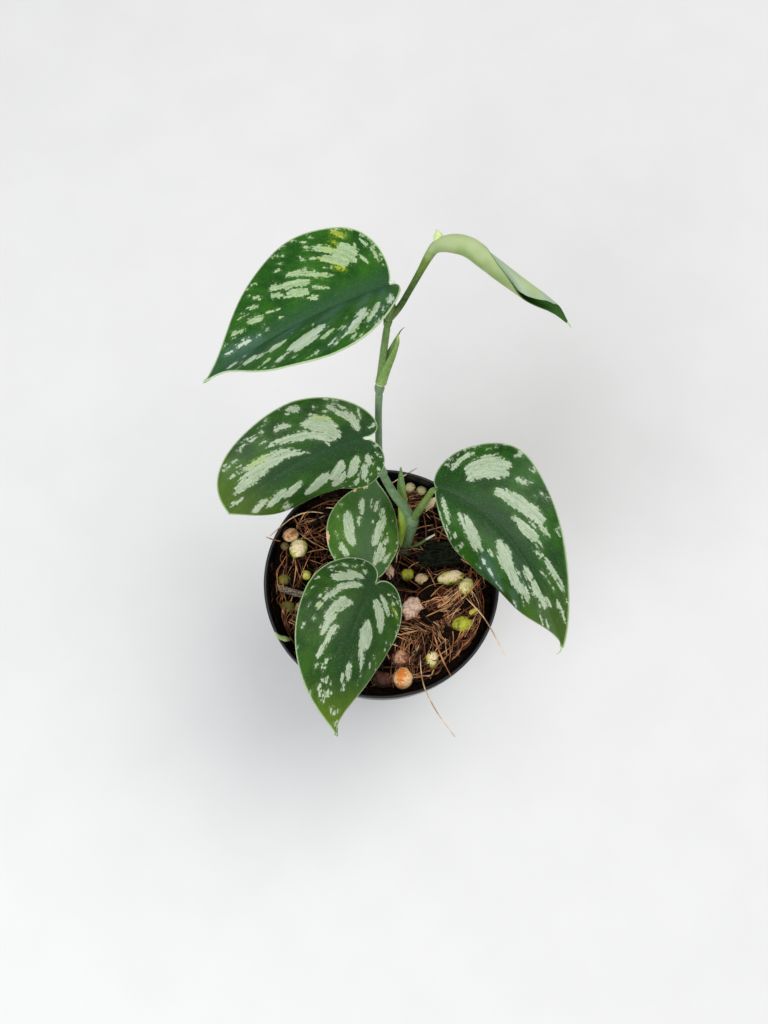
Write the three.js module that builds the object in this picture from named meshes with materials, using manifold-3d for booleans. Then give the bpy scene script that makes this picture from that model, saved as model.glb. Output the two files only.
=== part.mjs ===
// Satin pothos in a small nursery pot.
// Millimetres, +Z up. The origin is the centre of the pot's foot, and -Y is the front.

import * as THREE from 'three';
import Module from 'manifold-3d';
import { mergeVertices } from 'three/addons/utils/BufferGeometryUtils.js';

const wasm = await Module();
wasm.setup();

// ---------------------------------------------------------------- driving dimensions

const GAP = 0.3; // air between two pieces that rest on each other

const POT = {
  height: 62,
  rimRadius: 35,
  collarTop: 34.6, // radius of the straight band under the rim, at its top and at its foot
  collarFoot: 34.3,
  waistRadius: 33.4, // the wall just under the collar
  footRadius: 24,
  collarHeight: 8,
  ledge: 1.2, // height of the slope between wall and collar
  chamfer: 0.6, // round the foot
  wall: 0.9,
  floor: 1.2,
  lip: 1.2, // height of the bead round the rim
  lipSlope: 0.4, // of the bead's underside
  lipRound: 0.35, // of its upper edge
  facets: 48,
  holes: 8,
  holeRadius: 2.5,
  holeCircle: 17,
};

const SOIL = {
  top: 54, // middle height of its rough surface
  swell: 0.7, // height of the slow waves in it
  dish: 2.2, // how much higher the mix lies all round against the wall than in the middle
  dishFoot: 24,
  dishTop: 32,
  heap: 4, // how much higher the mix lies against the wall at the back left
  heapTurn: 150, // which way that is, in degrees
  heapFoot: 14, // where the heap starts and ends, from the middle
  heapTop: 32,
  rings: 6,
  facets: 24,
  stoneLift: 0.22, // share of a stone's height by which its middle lies above the surface
  reach: 29, // how far from the middle the loose chips lie
  chips: 34,
  chipLength: [3, 6.5],
  chipWidth: [1.6, 3.4],
  chipHeight: [1.4, 2.4],
  chipTilt: 0.5, // radians, at most
  chipLift: 0.3,
  fibres: 9,
  fibreRadius: 0.45,
  fibreLength: [12, 18],
  fibreBow: 3, // how far a fibre bends sideways, at most
  fibreLift: 1.6, // its middle above the surface
  fibreDip: 1.15, // and its ends below it
  seed: 11,
};

const BLADE = {
  thickness: 0.7,
  rib: 0.45, // extra depth under the midrib, at the stalk
  waves: 2.5, // along the margin
  offbeat: 0.4, // how much later the waves run on the right half
  notch: 0.1, // share of its width at which a lobe's edge leaves the stalk
  sweep: 1.7, // how strongly the rows of facets slant toward the tip
  rows: 16,
  columns: 5,
};

// A blade's midrib runs from base to tip as one arched curve. arch lifts it, sway bends it to its left,
// and peak says where along it. roll turns the blade about the midrib and twist adds to that by the tip.
// Each half has a width, and then shares of the blade's length: where it is widest, how far the lobe
// reaches behind the stalk, and how round, full, tapered and slim its edge is. fold and curl are the
// angles in degrees by which it droops, at the midrib and further on to the edge.
const LEAVES = {
  leaf_back: {
    base: [2, 62.1, 133], tip: [-48.1, 43.1, 112.4], arch: 2, sway: -0.8, peak: 0.45,
    roll: 20, twist: -2.5, wave: 0.42, phase: -0.12,
    left: {
      width: 19.3, widest: 0.23, lobe: 0.15, round: 0.2,
      full: 0.74, taper: 0.21, slim: 0, fold: -25, curl: 24,
    },
    right: {
      width: 22, widest: 0.32, lobe: 0.05, round: 0.36,
      full: 0.52, taper: 0.21, slim: 0.21, fold: -25, curl: 5,
    },
  },
  leaf_left: {
    base: [-4.9, 31, 100.6], tip: [-43, 13, 87], arch: 3.4, sway: -4.7, peak: 0.35,
    roll: -39, twist: -10, wave: 0.24, phase: 0.2,
    left: {
      width: 19, widest: 0.23, lobe: 0.27, round: 0.51,
      full: 0.9, taper: 0.13, slim: 0.4, fold: -4.5, curl: 60,
    },
    right: {
      width: 16.2, widest: 0.38, lobe: 0.33, round: 0.2,
      full: 0.9, taper: 0.05, slim: 0.39, fold: -8.5, curl: 50,
    },
  },
  leaf_centre: {
    base: [-1, -0.5, 69], tip: [-1.7, 31.8, 63], arch: 1, sway: 3.9, peak: 0.35,
    roll: 15, twist: -8.5, wave: 0.14, phase: 0,
    left: {
      width: 11.6, widest: 0.5, lobe: 0.08, round: 0.33,
      full: 0.67, taper: 0.1, slim: 0.18, fold: 2.5, curl: 21,
    },
    right: {
      width: 11.5, widest: 0.48, lobe: 0.05, round: 0.35,
      full: 0.78, taper: 0.08, slim: 0.2, fold: 6.5, curl: 25,
    },
  },
  leaf_front: {
    base: [-1.5, -4.2, 76.3], tip: [-12.6, -47.2, 72.3], arch: 5.5, sway: -6, peak: 0.44,
    roll: -27, twist: -6, wave: 0.14, phase: 0,
    left: {
      width: 16.2, widest: 0.3, lobe: 0.16, round: 0.42,
      full: 0.72, taper: 0.19, slim: 0, fold: 4, curl: 31,
    },
    right: {
      width: 16.8, widest: 0.27, lobe: 0.22, round: 0.36,
      full: 0.56, taper: 0.09, slim: 0.14, fold: 3.5, curl: 23,
    },
  },
  leaf_right: {
    base: [15.9, 21.3, 85], tip: [51.3, -22.6, 74], arch: 4.1, sway: 6.4, peak: 0.35,
    roll: -2, twist: 40, wave: 2.2, phase: -0.47,
    left: {
      width: 20.5, widest: 0.28, lobe: 0.11, round: 0.2,
      full: 0.2, taper: 0.05, slim: 0.28, fold: -22, curl: 5,
    },
    right: {
      width: 19, widest: 0.51, lobe: 0.05, round: 0.26,
      full: 0.66, taper: 0.12, slim: 0, fold: 3, curl: 70,
    },
  },
};

// The youngest leaf is still rolled up: points down its middle, its radius there, and the angle in
// degrees at which the outer edge shows as a step.
const ROLLED = {
  points: [
    [14.1, 66.6, 145.4], [16, 66.9, 146.8], [18.6, 66.2, 147.5], [21.9, 65.1, 147.5], [25.7, 62.7, 146.5],
    [30.1, 60.1, 144.5], [35.3, 57.5, 141.5], [40.7, 55.4, 138], [45.2, 54, 134.5], [48.6, 51.9, 131],
  ],
  radii: [1.5, 2, 2.4, 2.5, 2.2, 2.3, 2.3, 1.9, 1.3, 0.25],
  step: 0.3, // share of the radius by which the outer edge stands proud
  seam: [200, 300],
  sides: 14,
  steps: 20,
};

// Stems and stalks: points down the middle, and the radius at each.
const CROWN = [7, 12, 40];
const NODE_LOW = [9.1, 17.4, 66];
const NODE_LEFT = [0.2, 28.1, 80];
const NODE_MID = [-0.5, 44.6, 104];
const NODE_TOP = [1.8, 57.1, 121];
const NODE_RADII = [1.5, 1.5, 1.2];

const MAIN_STEM = {
  points: [
    CROWN, [7.2, 12.3, 53], [8.6, 14.8, 60], NODE_LOW, [6.7, 20.8, 69], [4.3, 23, 72], [1.9, 25.7, 76],
    NODE_LEFT, [-0.6, 31.6, 85], [-0.8, 36.6, 92], [-0.8, 41, 98], NODE_MID, [0.5, 50.6, 113], NODE_TOP,
  ],
  radii: [1.6, 1.6, 1.4, 1.6, 1.3, 1.3, 1.2, 1.15, 1, 1, 1, 1.1, 1, 0.95],
};

const STALKS = {
  leaf_back: { points: [NODE_TOP, [3, 58.9, 124.5]], radii: [1, 0.95] },
  leaf_left: { points: [NODE_LEFT, [-1.4, 29.8, 86]], radii: [1, 0.95] },
  leaf_right: {
    points: [NODE_LOW, [11.4, 19.8, 71], [13.6, 22.1, 74.5], [15.1, 23.1, 78]],
    radii: [1.4, 1.25, 1.15, 1.05],
  },
};
const ROLLED_STALK = {
  points: [NODE_TOP, [4.7, 58.8, 125.5], [7.5, 60.9, 132], [10.3, 63.6, 138], [12.5, 65.8, 142.6]],
  radii: [0.9, 0.9, 0.85, 0.85, 0.95],
  endRadius: 0.85,
};
const SPEAR = {
  points: [[7, 12, 48], [6.7, 12.9, 53], [6.6, 17.1, 59.5], [6.3, 22.7, 65], [5.9, 27, 71], [5.7, 30.7, 76]],
  radii: [1.3, 1.3, 1.25, 1.2, 1, 0.2],
};
const SHEATH = {
  points: [NODE_MID, [1.3, 47.7, 108], [2.9, 51.1, 112], [4.3, 54, 115.5], [4.9, 55.6, 117.2]],
  radii: [1.1, 1.5, 1.4, 0.9, 0.2],
};
const ROLLED_TIP_SHEATH = {
  points: [[11.9, 65.6, 141.8], [12.7, 67.9, 144.4], [13.7, 70.1, 146]],
  radii: [0.6, 0.65, 0.15],
};
const ROOTLET = {
  points: [[7.6, 12, 55.5], [10.8, 12.4, 57.6], [13.5, 14, 58.4], [16, 15.3, 58.6]],
  radii: [0.6, 0.5, 0.45, 0.25],
};

const FRONT_CROWN = { centre: [-1.2, -2.2, 50.5], radii: [3.2, 3.8, 2.6] };
const FRONT_STALKS = {
  leaf_front: { points: [[-1.4, -3.6, 50], [-1.5, -4.6, 60]], radii: [1.3, 1.15] },
  leaf_centre: { points: [[-1, -0.8, 50], [-1, 0.4, 58]], radii: [1.2, 1.1] },
};
// A stalk's last stretch meets its blade squarely from below, at this share of the midrib.
const STALK_END = { reach: 3.2, radius: 0.9, seat: 0.03 };

// Stones and bark lying on the soil: x, y, length, width and height in mm, and a turn in degrees.
const STONES = [
  [-27.3, 14.7, 5.2, 4, 3.4, 20], [-29.1, 11.5, 2.6, 2.6, 2, 0], [-25.1, 10.8, 6, 5.4, 4.4, 60],
  [-22.7, 3.3, 3.1, 3, 2.6, 0], [8.8, 30.4, 3.3, 3.3, 3.3, 0], [12.2, 29.6, 3.3, 3.3, 3.2, 0],
  [2.6, 4.3, 4.2, 2.5, 2.4, 90], [7.7, 3.7, 4, 3.8, 3.2, 30], [12.3, 2.4, 4.8, 3.6, 3, 0],
  [20.9, 2.7, 7.8, 4.6, 4, 12], [25.4, -0.4, 5.4, 4.4, 4, 70], [9.1, -6.8, 6.4, 5.8, 4.6, 40],
  [24.3, -11.9, 7.2, 5.2, 4.4, 10], [27.8, -8.2, 3.5, 2.4, 2.4, 20], [18.6, -12.9, 3.1, 2.4, 2.2, 0],
  [5.5, -22, 5.7, 5, 4, 0], [15, -22.4, 5.4, 4, 3.4, 80], [6.3, -28.4, 7, 6.2, 4.6, 75],
  [0.3, -28.6, 6, 5.2, 3.6, 150], [-29.4, 1.5, 4, 3.4, 2.8, 0], [-26.9, -2.1, 8.4, 3, 2, 160],
  [-28.2, -6.7, 4, 3.6, 3, 10], [-24.6, -6.5, 3.4, 3, 2.6, 0], [16, 8.6, 9.5, 5, 1.8, 12],
];

// ---------------------------------------------------------------- helpers

const vec = ([x, y, z]) => new THREE.Vector3(x, y, z);
const flat = (x, y) => new THREE.Vector2(x, y);
const { degToRad, lerp, smoothstep } = THREE.MathUtils;

// Small seeded generator, so that every build is the same.
function randomFrom(seed) {
  let state = seed;
  return (low = 0, high = 1) => {
    state = (state * 1664525 + 1013904223) % 4294967296;
    return low + ((high - low) * state) / 4294967296;
  };
}

// Geometry to solid and back, for joins and cuts.
function solidOf(geometry) {
  const bare = geometry.clone();
  bare.deleteAttribute('normal');
  bare.deleteAttribute('uv');
  const merged = mergeVertices(bare, 1e-4);
  return new wasm.Manifold(new wasm.Mesh({
    numProp: 3,
    vertProperties: new Float32Array(merged.attributes.position.array),
    triVerts: new Uint32Array(merged.index.array),
  }));
}

function geometryOf(solid) {
  const mesh = solid.getMesh();
  const geometry = new THREE.BufferGeometry();
  geometry.setAttribute('position', new THREE.BufferAttribute(mesh.vertProperties, 3));
  geometry.setIndex(new THREE.BufferAttribute(mesh.triVerts, 1));
  geometry.computeVertexNormals();
  return geometry;
}

const join = (solids) => solids.reduce((whole, next) => whole.add(next));

// The main body of a solid, without the scraps that a cut left loose.
const largest = (solid) => solid.decompose().sort((a, b) => b.volume() - a.volume())[0];

function geometryFrom(points, triangles) {
  const geometry = new THREE.BufferGeometry();
  geometry.setAttribute('position', new THREE.Float32BufferAttribute(points.flatMap((p) => p.toArray()), 3));
  geometry.setIndex(triangles.flat());
  geometry.computeVertexNormals();
  return geometry;
}

// A closed body of rings along a curve. section(t, angle) gives the distance from the middle.
function loft(points, section, sides, steps) {
  const curve = new THREE.CatmullRomCurve3(points.map(vec), false, 'centripetal');
  const frames = curve.computeFrenetFrames(steps, false);
  const vertices = [];
  for (let i = 0; i <= steps; i += 1) {
    const middle = curve.getPointAt(i / steps);
    for (let k = 0; k < sides; k += 1) {
      const angle = (2 * Math.PI * k) / sides;
      const out = frames.normals[i].clone().multiplyScalar(Math.cos(angle))
        .addScaledVector(frames.binormals[i], Math.sin(angle));
      vertices.push(middle.clone().addScaledVector(out, section(i / steps, angle)));
    }
  }
  const start = vertices.length;
  vertices.push(curve.getPointAt(0), curve.getPointAt(1));
  const triangles = [];
  for (let k = 0; k < sides; k += 1) {
    const next = (k + 1) % sides;
    for (let i = 0; i < steps; i += 1) {
      const [a, b] = [i * sides + k, i * sides + next];
      triangles.push([a, b, b + sides], [a, b + sides, a + sides]);
    }
    triangles.push([start, next, k], [start + 1, steps * sides + k, steps * sides + next]);
  }
  return geometryFrom(vertices, triangles);
}

// The value at share t of a list of values that lie evenly along a curve.
function along(values, t) {
  const place = t * (values.length - 1);
  const i = Math.min(Math.floor(place), values.length - 2);
  return lerp(values[i], values[i + 1], place - i);
}

// The same for radii given at the points of a curve, by their distance along it.
function radiusAlong(points, radii) {
  const reach = [0];
  for (let i = 1; i < points.length; i += 1) {
    reach.push(reach[i - 1] + vec(points[i]).distanceTo(vec(points[i - 1])));
  }
  const whole = reach[reach.length - 1];
  return (t) => {
    let i = 1;
    while (i < reach.length - 1 && reach[i] < t * whole) i += 1;
    return lerp(radii[i - 1], radii[i], (t * whole - reach[i - 1]) / (reach[i] - reach[i - 1]));
  };
}

// A stem through points. grow swells it on all sides, for the hole that it stands in.
function limb({ points, radii }, { sides = 8, spacing = 3, grow = 0 } = {}) {
  const route = points.map(vec);
  const last = route.length - 1;
  route[0].add(route[0].clone().sub(route[1]).setLength(grow));
  route[last].add(route[last].clone().sub(route[last - 1]).setLength(grow));
  const swollen = route.map((point) => point.toArray());
  const radius = radiusAlong(swollen, radii);
  const curve = new THREE.CatmullRomCurve3(route, false, 'centripetal');
  const steps = Math.max(3, Math.round(curve.getLength() / spacing));
  return loft(swollen, (t) => radius(t) + grow, sides, steps);
}

// ---------------------------------------------------------------- leaf blades

// Edge of one half, from the sinus round the lobe and the widest point to the tip, as share m goes 0 to 1.
// x is a share of the blade's length and y is in mm.
function edgeOf({ width, widest, lobe, round, full, taper, slim }) {
  const behind = new THREE.CubicBezierCurve(
    flat(0, 0), flat(-lobe, BLADE.notch * width), flat(widest - round, width), flat(widest, width),
  );
  const ahead = new THREE.CubicBezierCurve(
    flat(widest, width), flat(widest + full * (1 - widest), width), flat(1 - taper, slim * width), flat(1, 0),
  );
  return (m) => (m < 0.5 ? behind.getPoint(2 * m) : ahead.getPoint(2 * m - 1));
}

// The blade's upper face: u is the share of the length along the midrib and v is mm across it, + to the left.
function faceOf(leaf) {
  const base = vec(leaf.base);
  const tip = vec(leaf.tip);
  const chord = tip.clone().sub(base).normalize();
  const level = new THREE.Vector3(0, 0, 1).cross(chord).normalize();
  const side = level.clone().applyAxisAngle(chord, degToRad(leaf.roll));
  const up = chord.clone().cross(side);
  const crest = base.clone().lerp(tip, leaf.peak)
    .addScaledVector(up, 2 * leaf.arch).addScaledVector(side, 2 * leaf.sway);
  return (u, v) => {
    const point = base.clone().multiplyScalar((1 - u) ** 2)
      .addScaledVector(crest, 2 * u * (1 - u)).addScaledVector(tip, u * u);
    const ahead = crest.clone().sub(base).multiplyScalar(1 - u)
      .addScaledVector(tip.clone().sub(crest), u).normalize();
    const across = side.clone().addScaledVector(ahead, -side.dot(ahead)).normalize()
      .applyAxisAngle(ahead, degToRad(leaf.twist * u));
    const normal = ahead.clone().cross(across);
    const half = v >= 0 ? leaf.left : leaf.right;
    const share = Math.abs(v) / half.width;
    const start = degToRad(half.fold);
    const turn = degToRad(half.curl);
    const out = (half.width / turn) * (Math.sin(start + turn * share) - Math.sin(start));
    const drop = (half.width / turn) * (Math.cos(start) - Math.cos(start + turn * share));
    const beat = leaf.phase + (v >= 0 ? 0 : BLADE.offbeat);
    const wave = leaf.wave * share ** 2 * Math.sin(2 * Math.PI * (BLADE.waves * u + beat));
    return point.addScaledVector(across, Math.sign(v) * out).addScaledVector(normal, wave - drop);
  };
}

function normalAt(face, u, v) {
  const [du, dv] = [1e-3, 0.05];
  const side = v >= 0 ? 1 : -1; // differences stay within one half, which meets the other in a crease
  const ahead = face(u + du, v).sub(face(u - du, v));
  const across = face(u, v + side * dv).sub(face(u, v)).multiplyScalar(side);
  return ahead.cross(across).normalize();
}

function ribNormal(face, u) {
  return normalAt(face, u, 0.01).add(normalAt(face, u, -0.01)).normalize();
}

function blade(leaf) {
  const { rows, columns, thickness, rib, sweep } = BLADE;
  const face = faceOf(leaf);
  const edges = { 1: edgeOf(leaf.left), [-1]: edgeOf(leaf.right) };
  const tops = [];
  const unders = [];
  const put = (u, v, deep) => {
    const top = face(u, v);
    const normal = v === 0 ? ribNormal(face, u) : normalAt(face, u, v);
    tops.push(top);
    unders.push(top.clone().addScaledVector(normal, -deep));
  };
  put(0, 0, thickness);
  put(1, 0, thickness);
  for (let i = 1; i < rows; i += 1) {
    const m = i / rows;
    const onRib = m ** sweep;
    for (let j = -columns; j <= columns; j += 1) {
      const t = Math.abs(j) / columns;
      const edge = edges[j < 0 ? -1 : 1](m);
      put(lerp(onRib, edge.x, t), Math.sign(j) * edge.y * t, j === 0 ? thickness + rib * (1 - m) : thickness);
    }
  }
  const index = (i, j) => {
    if (i === 0) return 0;
    if (i === rows) return 1;
    return 2 + (i - 1) * (2 * columns + 1) + j + columns;
  };
  const under = (k) => k + tops.length;
  const triangles = [];
  const addBoth = (a, b, c) => {
    if (a !== b && b !== c && c !== a) triangles.push([a, b, c], [under(c), under(b), under(a)]);
  };
  for (let i = 0; i < rows; i += 1) {
    for (let j = -columns; j < columns; j += 1) {
      const [a, b, c, d] = [index(i, j), index(i + 1, j), index(i + 1, j + 1), index(i, j + 1)];
      if (j < 0) {
        addBoth(a, b, d);
        addBoth(b, c, d);
      } else {
        addBoth(a, b, c);
        addBoth(a, c, d);
      }
    }
    for (const j of [columns, -columns]) {
      const [a, b] = j > 0 ? [index(i, j), index(i + 1, j)] : [index(i + 1, j), index(i, j)];
      triangles.push([a, b, under(b)], [a, under(b), under(a)]);
    }
  }
  return geometryFrom([...tops, ...unders], triangles);
}

// A stalk that ends squarely under its blade, a gap below the midrib.
function stalkTo(leaf, stalk) {
  const face = faceOf(leaf);
  const normal = ribNormal(face, STALK_END.seat);
  const seat = face(STALK_END.seat, 0).addScaledVector(normal, -(BLADE.thickness + BLADE.rib + GAP));
  const approach = seat.clone().addScaledVector(normal, -STALK_END.reach);
  return {
    points: [...stalk.points, approach.toArray(), seat.toArray()],
    radii: [...stalk.radii, STALK_END.radius, STALK_END.radius],
  };
}

// The rolled leaf's stalk ends a gap before the roll, in line with it.
function stalkToRoll() {
  const [first, second] = ROLLED.points.map(vec);
  const seat = first.clone().add(first.clone().sub(second).setLength(2 * GAP));
  const { points, radii, endRadius } = ROLLED_STALK;
  return { points: [...points, seat.toArray()], radii: [...radii, endRadius] };
}

// The rolled leaf: the radius grows round the section, so its outer edge stands proud as a step.
function rolledLeaf() {
  const { points, radii, step, seam, sides, steps } = ROLLED;
  const section = (t, angle) => {
    const start = degToRad(lerp(seam[0], seam[1], t));
    const turn = (((angle - start) / (2 * Math.PI)) % 1 + 1) % 1;
    return along(radii, t) * (1 - step / 2 + step * turn);
  };
  return loft(points, section, sides, steps);
}

// ---------------------------------------------------------------- stems

function stemParts(grow = 0) {
  const bodies = [MAIN_STEM, stalkToRoll(), SPEAR, SHEATH, ROLLED_TIP_SHEATH, ROOTLET]
    .map((part) => limb(part, { grow }));
  for (const [name, stalk] of Object.entries(STALKS)) {
    bodies.push(limb(stalkTo(LEAVES[name], stalk), { grow }));
  }
  for (const node of [NODE_LOW, NODE_LEFT, NODE_MID, NODE_TOP]) {
    bodies.push(pebble(node, NODE_RADII.map((r) => r + grow), 0));
  }
  return bodies;
}

function frontParts(grow = 0) {
  const bodies = Object.entries(FRONT_STALKS)
    .map(([name, stalk]) => limb(stalkTo(LEAVES[name], stalk), { grow }));
  bodies.push(pebble(FRONT_CROWN.centre, FRONT_CROWN.radii.map((r) => r + grow), 0));
  return bodies;
}

const fused = (geometries) => join(geometries.map(solidOf));

// ---------------------------------------------------------------- soil and pot

// A faceted stone: a coarse ball stretched to its three half sizes and turned.
function pebble([x, y, z], [a, b, c], turn, detail = 1) {
  const stone = new THREE.IcosahedronGeometry(1, detail);
  stone.scale(a, b, c);
  stone.rotateZ(degToRad(turn));
  stone.translate(x, y, z);
  return stone;
}

const wallRadius = (z) => {
  const top = POT.height - POT.collarHeight;
  return lerp(POT.footRadius, POT.waistRadius, z / top);
};

// The outline of the pot's hollow, drawn in by a clearance, from its floor to above the rim.
function hollowOutline(clearance) {
  const { floor, wall, collarHeight, collarTop, ledge, height, rimRadius } = POT;
  const shoulder = height - collarHeight;
  return [
    flat(0, floor + clearance),
    flat(wallRadius(floor) - wall - clearance, floor + clearance),
    flat(wallRadius(shoulder) - wall - clearance, shoulder),
    flat(collarTop - wall - clearance, shoulder + ledge),
    flat(rimRadius - wall - clearance, height),
  ];
}

function pot() {
  const { height, rimRadius, collarTop, collarFoot, footRadius, collarHeight, ledge, chamfer } = POT;
  const { lip, lipSlope, lipRound, facets } = POT;
  const shoulder = height - collarHeight;
  const outside = [
    flat(0, 0),
    flat(footRadius - chamfer, 0),
    flat(footRadius, chamfer),
    flat(wallRadius(shoulder - ledge), shoulder - ledge),
    flat(collarFoot, shoulder),
    flat(collarTop, height - lip - lipSlope),
    flat(rimRadius, height - lip),
    flat(rimRadius, height - lipRound),
    flat(rimRadius - lipRound, height),
  ];
  const outline = [...outside, ...hollowOutline(0).reverse()];
  const shell = new THREE.LatheGeometry(outline, facets);
  shell.rotateX(Math.PI / 2);
  const holes = [];
  for (let k = 0; k < POT.holes; k += 1) {
    const angle = (2 * Math.PI * (k + 0.5)) / POT.holes;
    const hole = new THREE.CylinderGeometry(POT.holeRadius, POT.holeRadius, 4 * POT.floor, 12);
    hole.rotateX(Math.PI / 2);
    hole.translate(POT.holeCircle * Math.cos(angle), POT.holeCircle * Math.sin(angle), POT.floor / 2);
    holes.push(solidOf(hole));
  }
  return geometryOf(solidOf(shell).subtract(join(holes)));
}

function soilHeight(x, y) {
  const turn = degToRad(SOIL.heapTurn);
  const toHeap = x * Math.cos(turn) + y * Math.sin(turn);
  const heap = SOIL.heap * smoothstep(toHeap, SOIL.heapFoot, SOIL.heapTop);
  const wave = Math.sin(0.31 * x + 0.9) * Math.cos(0.27 * y) + 0.6 * Math.sin(0.55 * y - 0.42 * x);
  const dish = SOIL.dish * smoothstep(Math.hypot(x, y), SOIL.dishFoot, SOIL.dishTop);
  return SOIL.top + SOIL.swell * wave + Math.max(heap, dish);
}

// A block of soil with a rough top, wider than the pot's hollow that it is then cut to.
function soilBed() {
  const reach = POT.rimRadius;
  const outline = [flat(0, 0), flat(reach, 0), flat(reach, SOIL.top - 2)];
  for (let k = SOIL.rings; k >= 0; k -= 1) outline.push(flat((reach * k) / SOIL.rings, SOIL.top));
  const bed = new THREE.LatheGeometry(outline, SOIL.facets);
  const place = bed.attributes.position;
  bed.rotateX(Math.PI / 2);
  for (let i = 0; i < place.count; i += 1) {
    if (place.getZ(i) > SOIL.top - 1) place.setZ(i, soilHeight(place.getX(i), place.getY(i)));
  }
  return solidOf(bed);
}

// A springy fibre that arches over the soil, with its ends in it.
function fibre(x, y, turn, length, bow) {
  const { fibreRadius, fibreLift, fibreDip } = SOIL;
  const ahead = flat(Math.cos(turn), Math.sin(turn));
  const stations = [-1, -0.5, 0, 0.5, 1]; // from end to end
  const points = stations.map((s) => {
    const hump = 1 - s * s;
    const px = x + (length / 2) * s * ahead.x - bow * hump * ahead.y;
    const py = y + (length / 2) * s * ahead.y + bow * hump * ahead.x;
    return [px, py, soilHeight(px, py) - fibreDip + (fibreLift + fibreDip) * hump];
  });
  const radii = stations.map((s) => fibreRadius * (Math.abs(s) === 1 ? 0.3 : 1));
  return limb({ points, radii }, { sides: 5, spacing: 2.4 });
}

// A chip of bark, tumbled a little and half sunk.
function chipAt(random) {
  const { reach, chipLength, chipWidth, chipHeight, chipTilt, chipLift } = SOIL;
  const away = reach * Math.sqrt(random());
  const angle = random(0, 2 * Math.PI);
  const [x, y] = [away * Math.cos(angle), away * Math.sin(angle)];
  const chip = new THREE.BoxGeometry(random(...chipLength), random(...chipWidth), random(...chipHeight));
  chip.rotateX(random(-chipTilt, chipTilt));
  chip.rotateY(random(-chipTilt, chipTilt));
  chip.rotateZ(random(0, Math.PI));
  chip.translate(x, y, soilHeight(x, y) + chipLift);
  return chip;
}

function fibreAt(random) {
  const away = random(SOIL.reach / 4, 0.8 * SOIL.reach);
  const angle = random(0, 2 * Math.PI);
  const [x, y] = [away * Math.cos(angle), away * Math.sin(angle)];
  return fibre(x, y, random(0, Math.PI), random(...SOIL.fibreLength), random(-SOIL.fibreBow, SOIL.fibreBow));
}

function soil() {
  const random = randomFrom(SOIL.seed);
  const bodies = [soilBed()];
  for (const [x, y, length, width, height, turn] of STONES) {
    const middle = soilHeight(x, y) + SOIL.stoneLift * height;
    const detail = length > 5 ? 1 : 0; // small stones need fewer facets
    bodies.push(solidOf(pebble([x, y, middle], [length / 2, width / 2, height / 2], turn, detail)));
  }
  for (let k = 0; k < SOIL.chips; k += 1) bodies.push(solidOf(chipAt(random)));
  for (let k = 0; k < SOIL.fibres; k += 1) bodies.push(solidOf(fibreAt(random)));
  const room = solidOf(roomInPot());
  const stems = fused([...stemParts(GAP), ...frontParts(GAP)]);
  return geometryOf(largest(join(bodies).intersect(room).subtract(stems)));
}

// The space that the pot leaves for the soil, closed above the rim.
function roomInPot() {
  const wallIn = hollowOutline(GAP);
  const room = new THREE.LatheGeometry([...wallIn, flat(0, POT.height)], POT.facets);
  room.rotateX(Math.PI / 2);
  return room;
}

// ---------------------------------------------------------------- assembly

const finish = (color, roughness) => new THREE.MeshStandardMaterial({ color, roughness, metalness: 0 });
const black = finish(0x16171a, 0.55);
const bark = finish(0x3a2a1e, 0.95);
const green = finish(0x6f9460, 0.5);
const satin = finish(0x35693c, 0.5);
const young = finish(0xb4c98f, 0.45);

const plant = new THREE.Group();
function add(name, geometry, material) {
  const mesh = new THREE.Mesh(geometry, material);
  mesh.name = name;
  plant.add(mesh);
}

add('pot', pot(), black);
add('soil', soil(), bark);
add('stem', geometryOf(fused(stemParts())), green);
add('shoot_front', geometryOf(fused(frontParts())), green);
for (const [name, leaf] of Object.entries(LEAVES)) add(name, blade(leaf), satin);
add('leaf_rolled', rolledLeaf(), young);

export default plant;
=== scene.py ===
# %% [markdown]
# # A young satin pothos in a small nursery pot
#
# The plant is one short vine, rooted in a pot 70 mm across. It has five open leaves and a sixth that is
# still rolled up. The frame holds a plain solid for each part. This lesson lays a finished piece over
# each of them: it has the same form and place, and the fine shape and the surface as well.
# Measures are in millimetres, and MM turns them into Blender's metres.

# %% Start from the frame
import math
import random

import bmesh
import bpy
import numpy as np
from mathutils import Matrix, Quaternion, Vector, noise


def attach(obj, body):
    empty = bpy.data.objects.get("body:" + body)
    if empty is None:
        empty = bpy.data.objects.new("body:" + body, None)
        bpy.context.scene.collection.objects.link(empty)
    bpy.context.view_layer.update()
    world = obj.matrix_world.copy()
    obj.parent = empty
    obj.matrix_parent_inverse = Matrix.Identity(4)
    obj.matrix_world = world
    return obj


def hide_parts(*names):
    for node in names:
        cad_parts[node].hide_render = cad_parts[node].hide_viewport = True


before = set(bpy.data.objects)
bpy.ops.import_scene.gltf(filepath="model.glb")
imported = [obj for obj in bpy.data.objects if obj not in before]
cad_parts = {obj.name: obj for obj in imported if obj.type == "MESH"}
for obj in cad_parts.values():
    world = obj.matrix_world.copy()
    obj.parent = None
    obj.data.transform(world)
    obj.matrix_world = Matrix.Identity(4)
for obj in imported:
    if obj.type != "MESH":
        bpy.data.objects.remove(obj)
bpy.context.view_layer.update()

MM = 0.001
print("frame nodes:", ", ".join(sorted(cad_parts)))

# %% [markdown]
# ## Camera
#
# A small plant is best seen from above, where its leaves face the eye. The camera leans 17 degrees off
# straight down, so the pot's rim is an open ellipse and the tall shoot still stands away from the soil.

# %% Look down on the plant
CAMERA_PLACE = (0.74, -100.63, 465.6)
CAMERA_LEAN = math.radians(16.82)
LENS = 49.22

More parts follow.
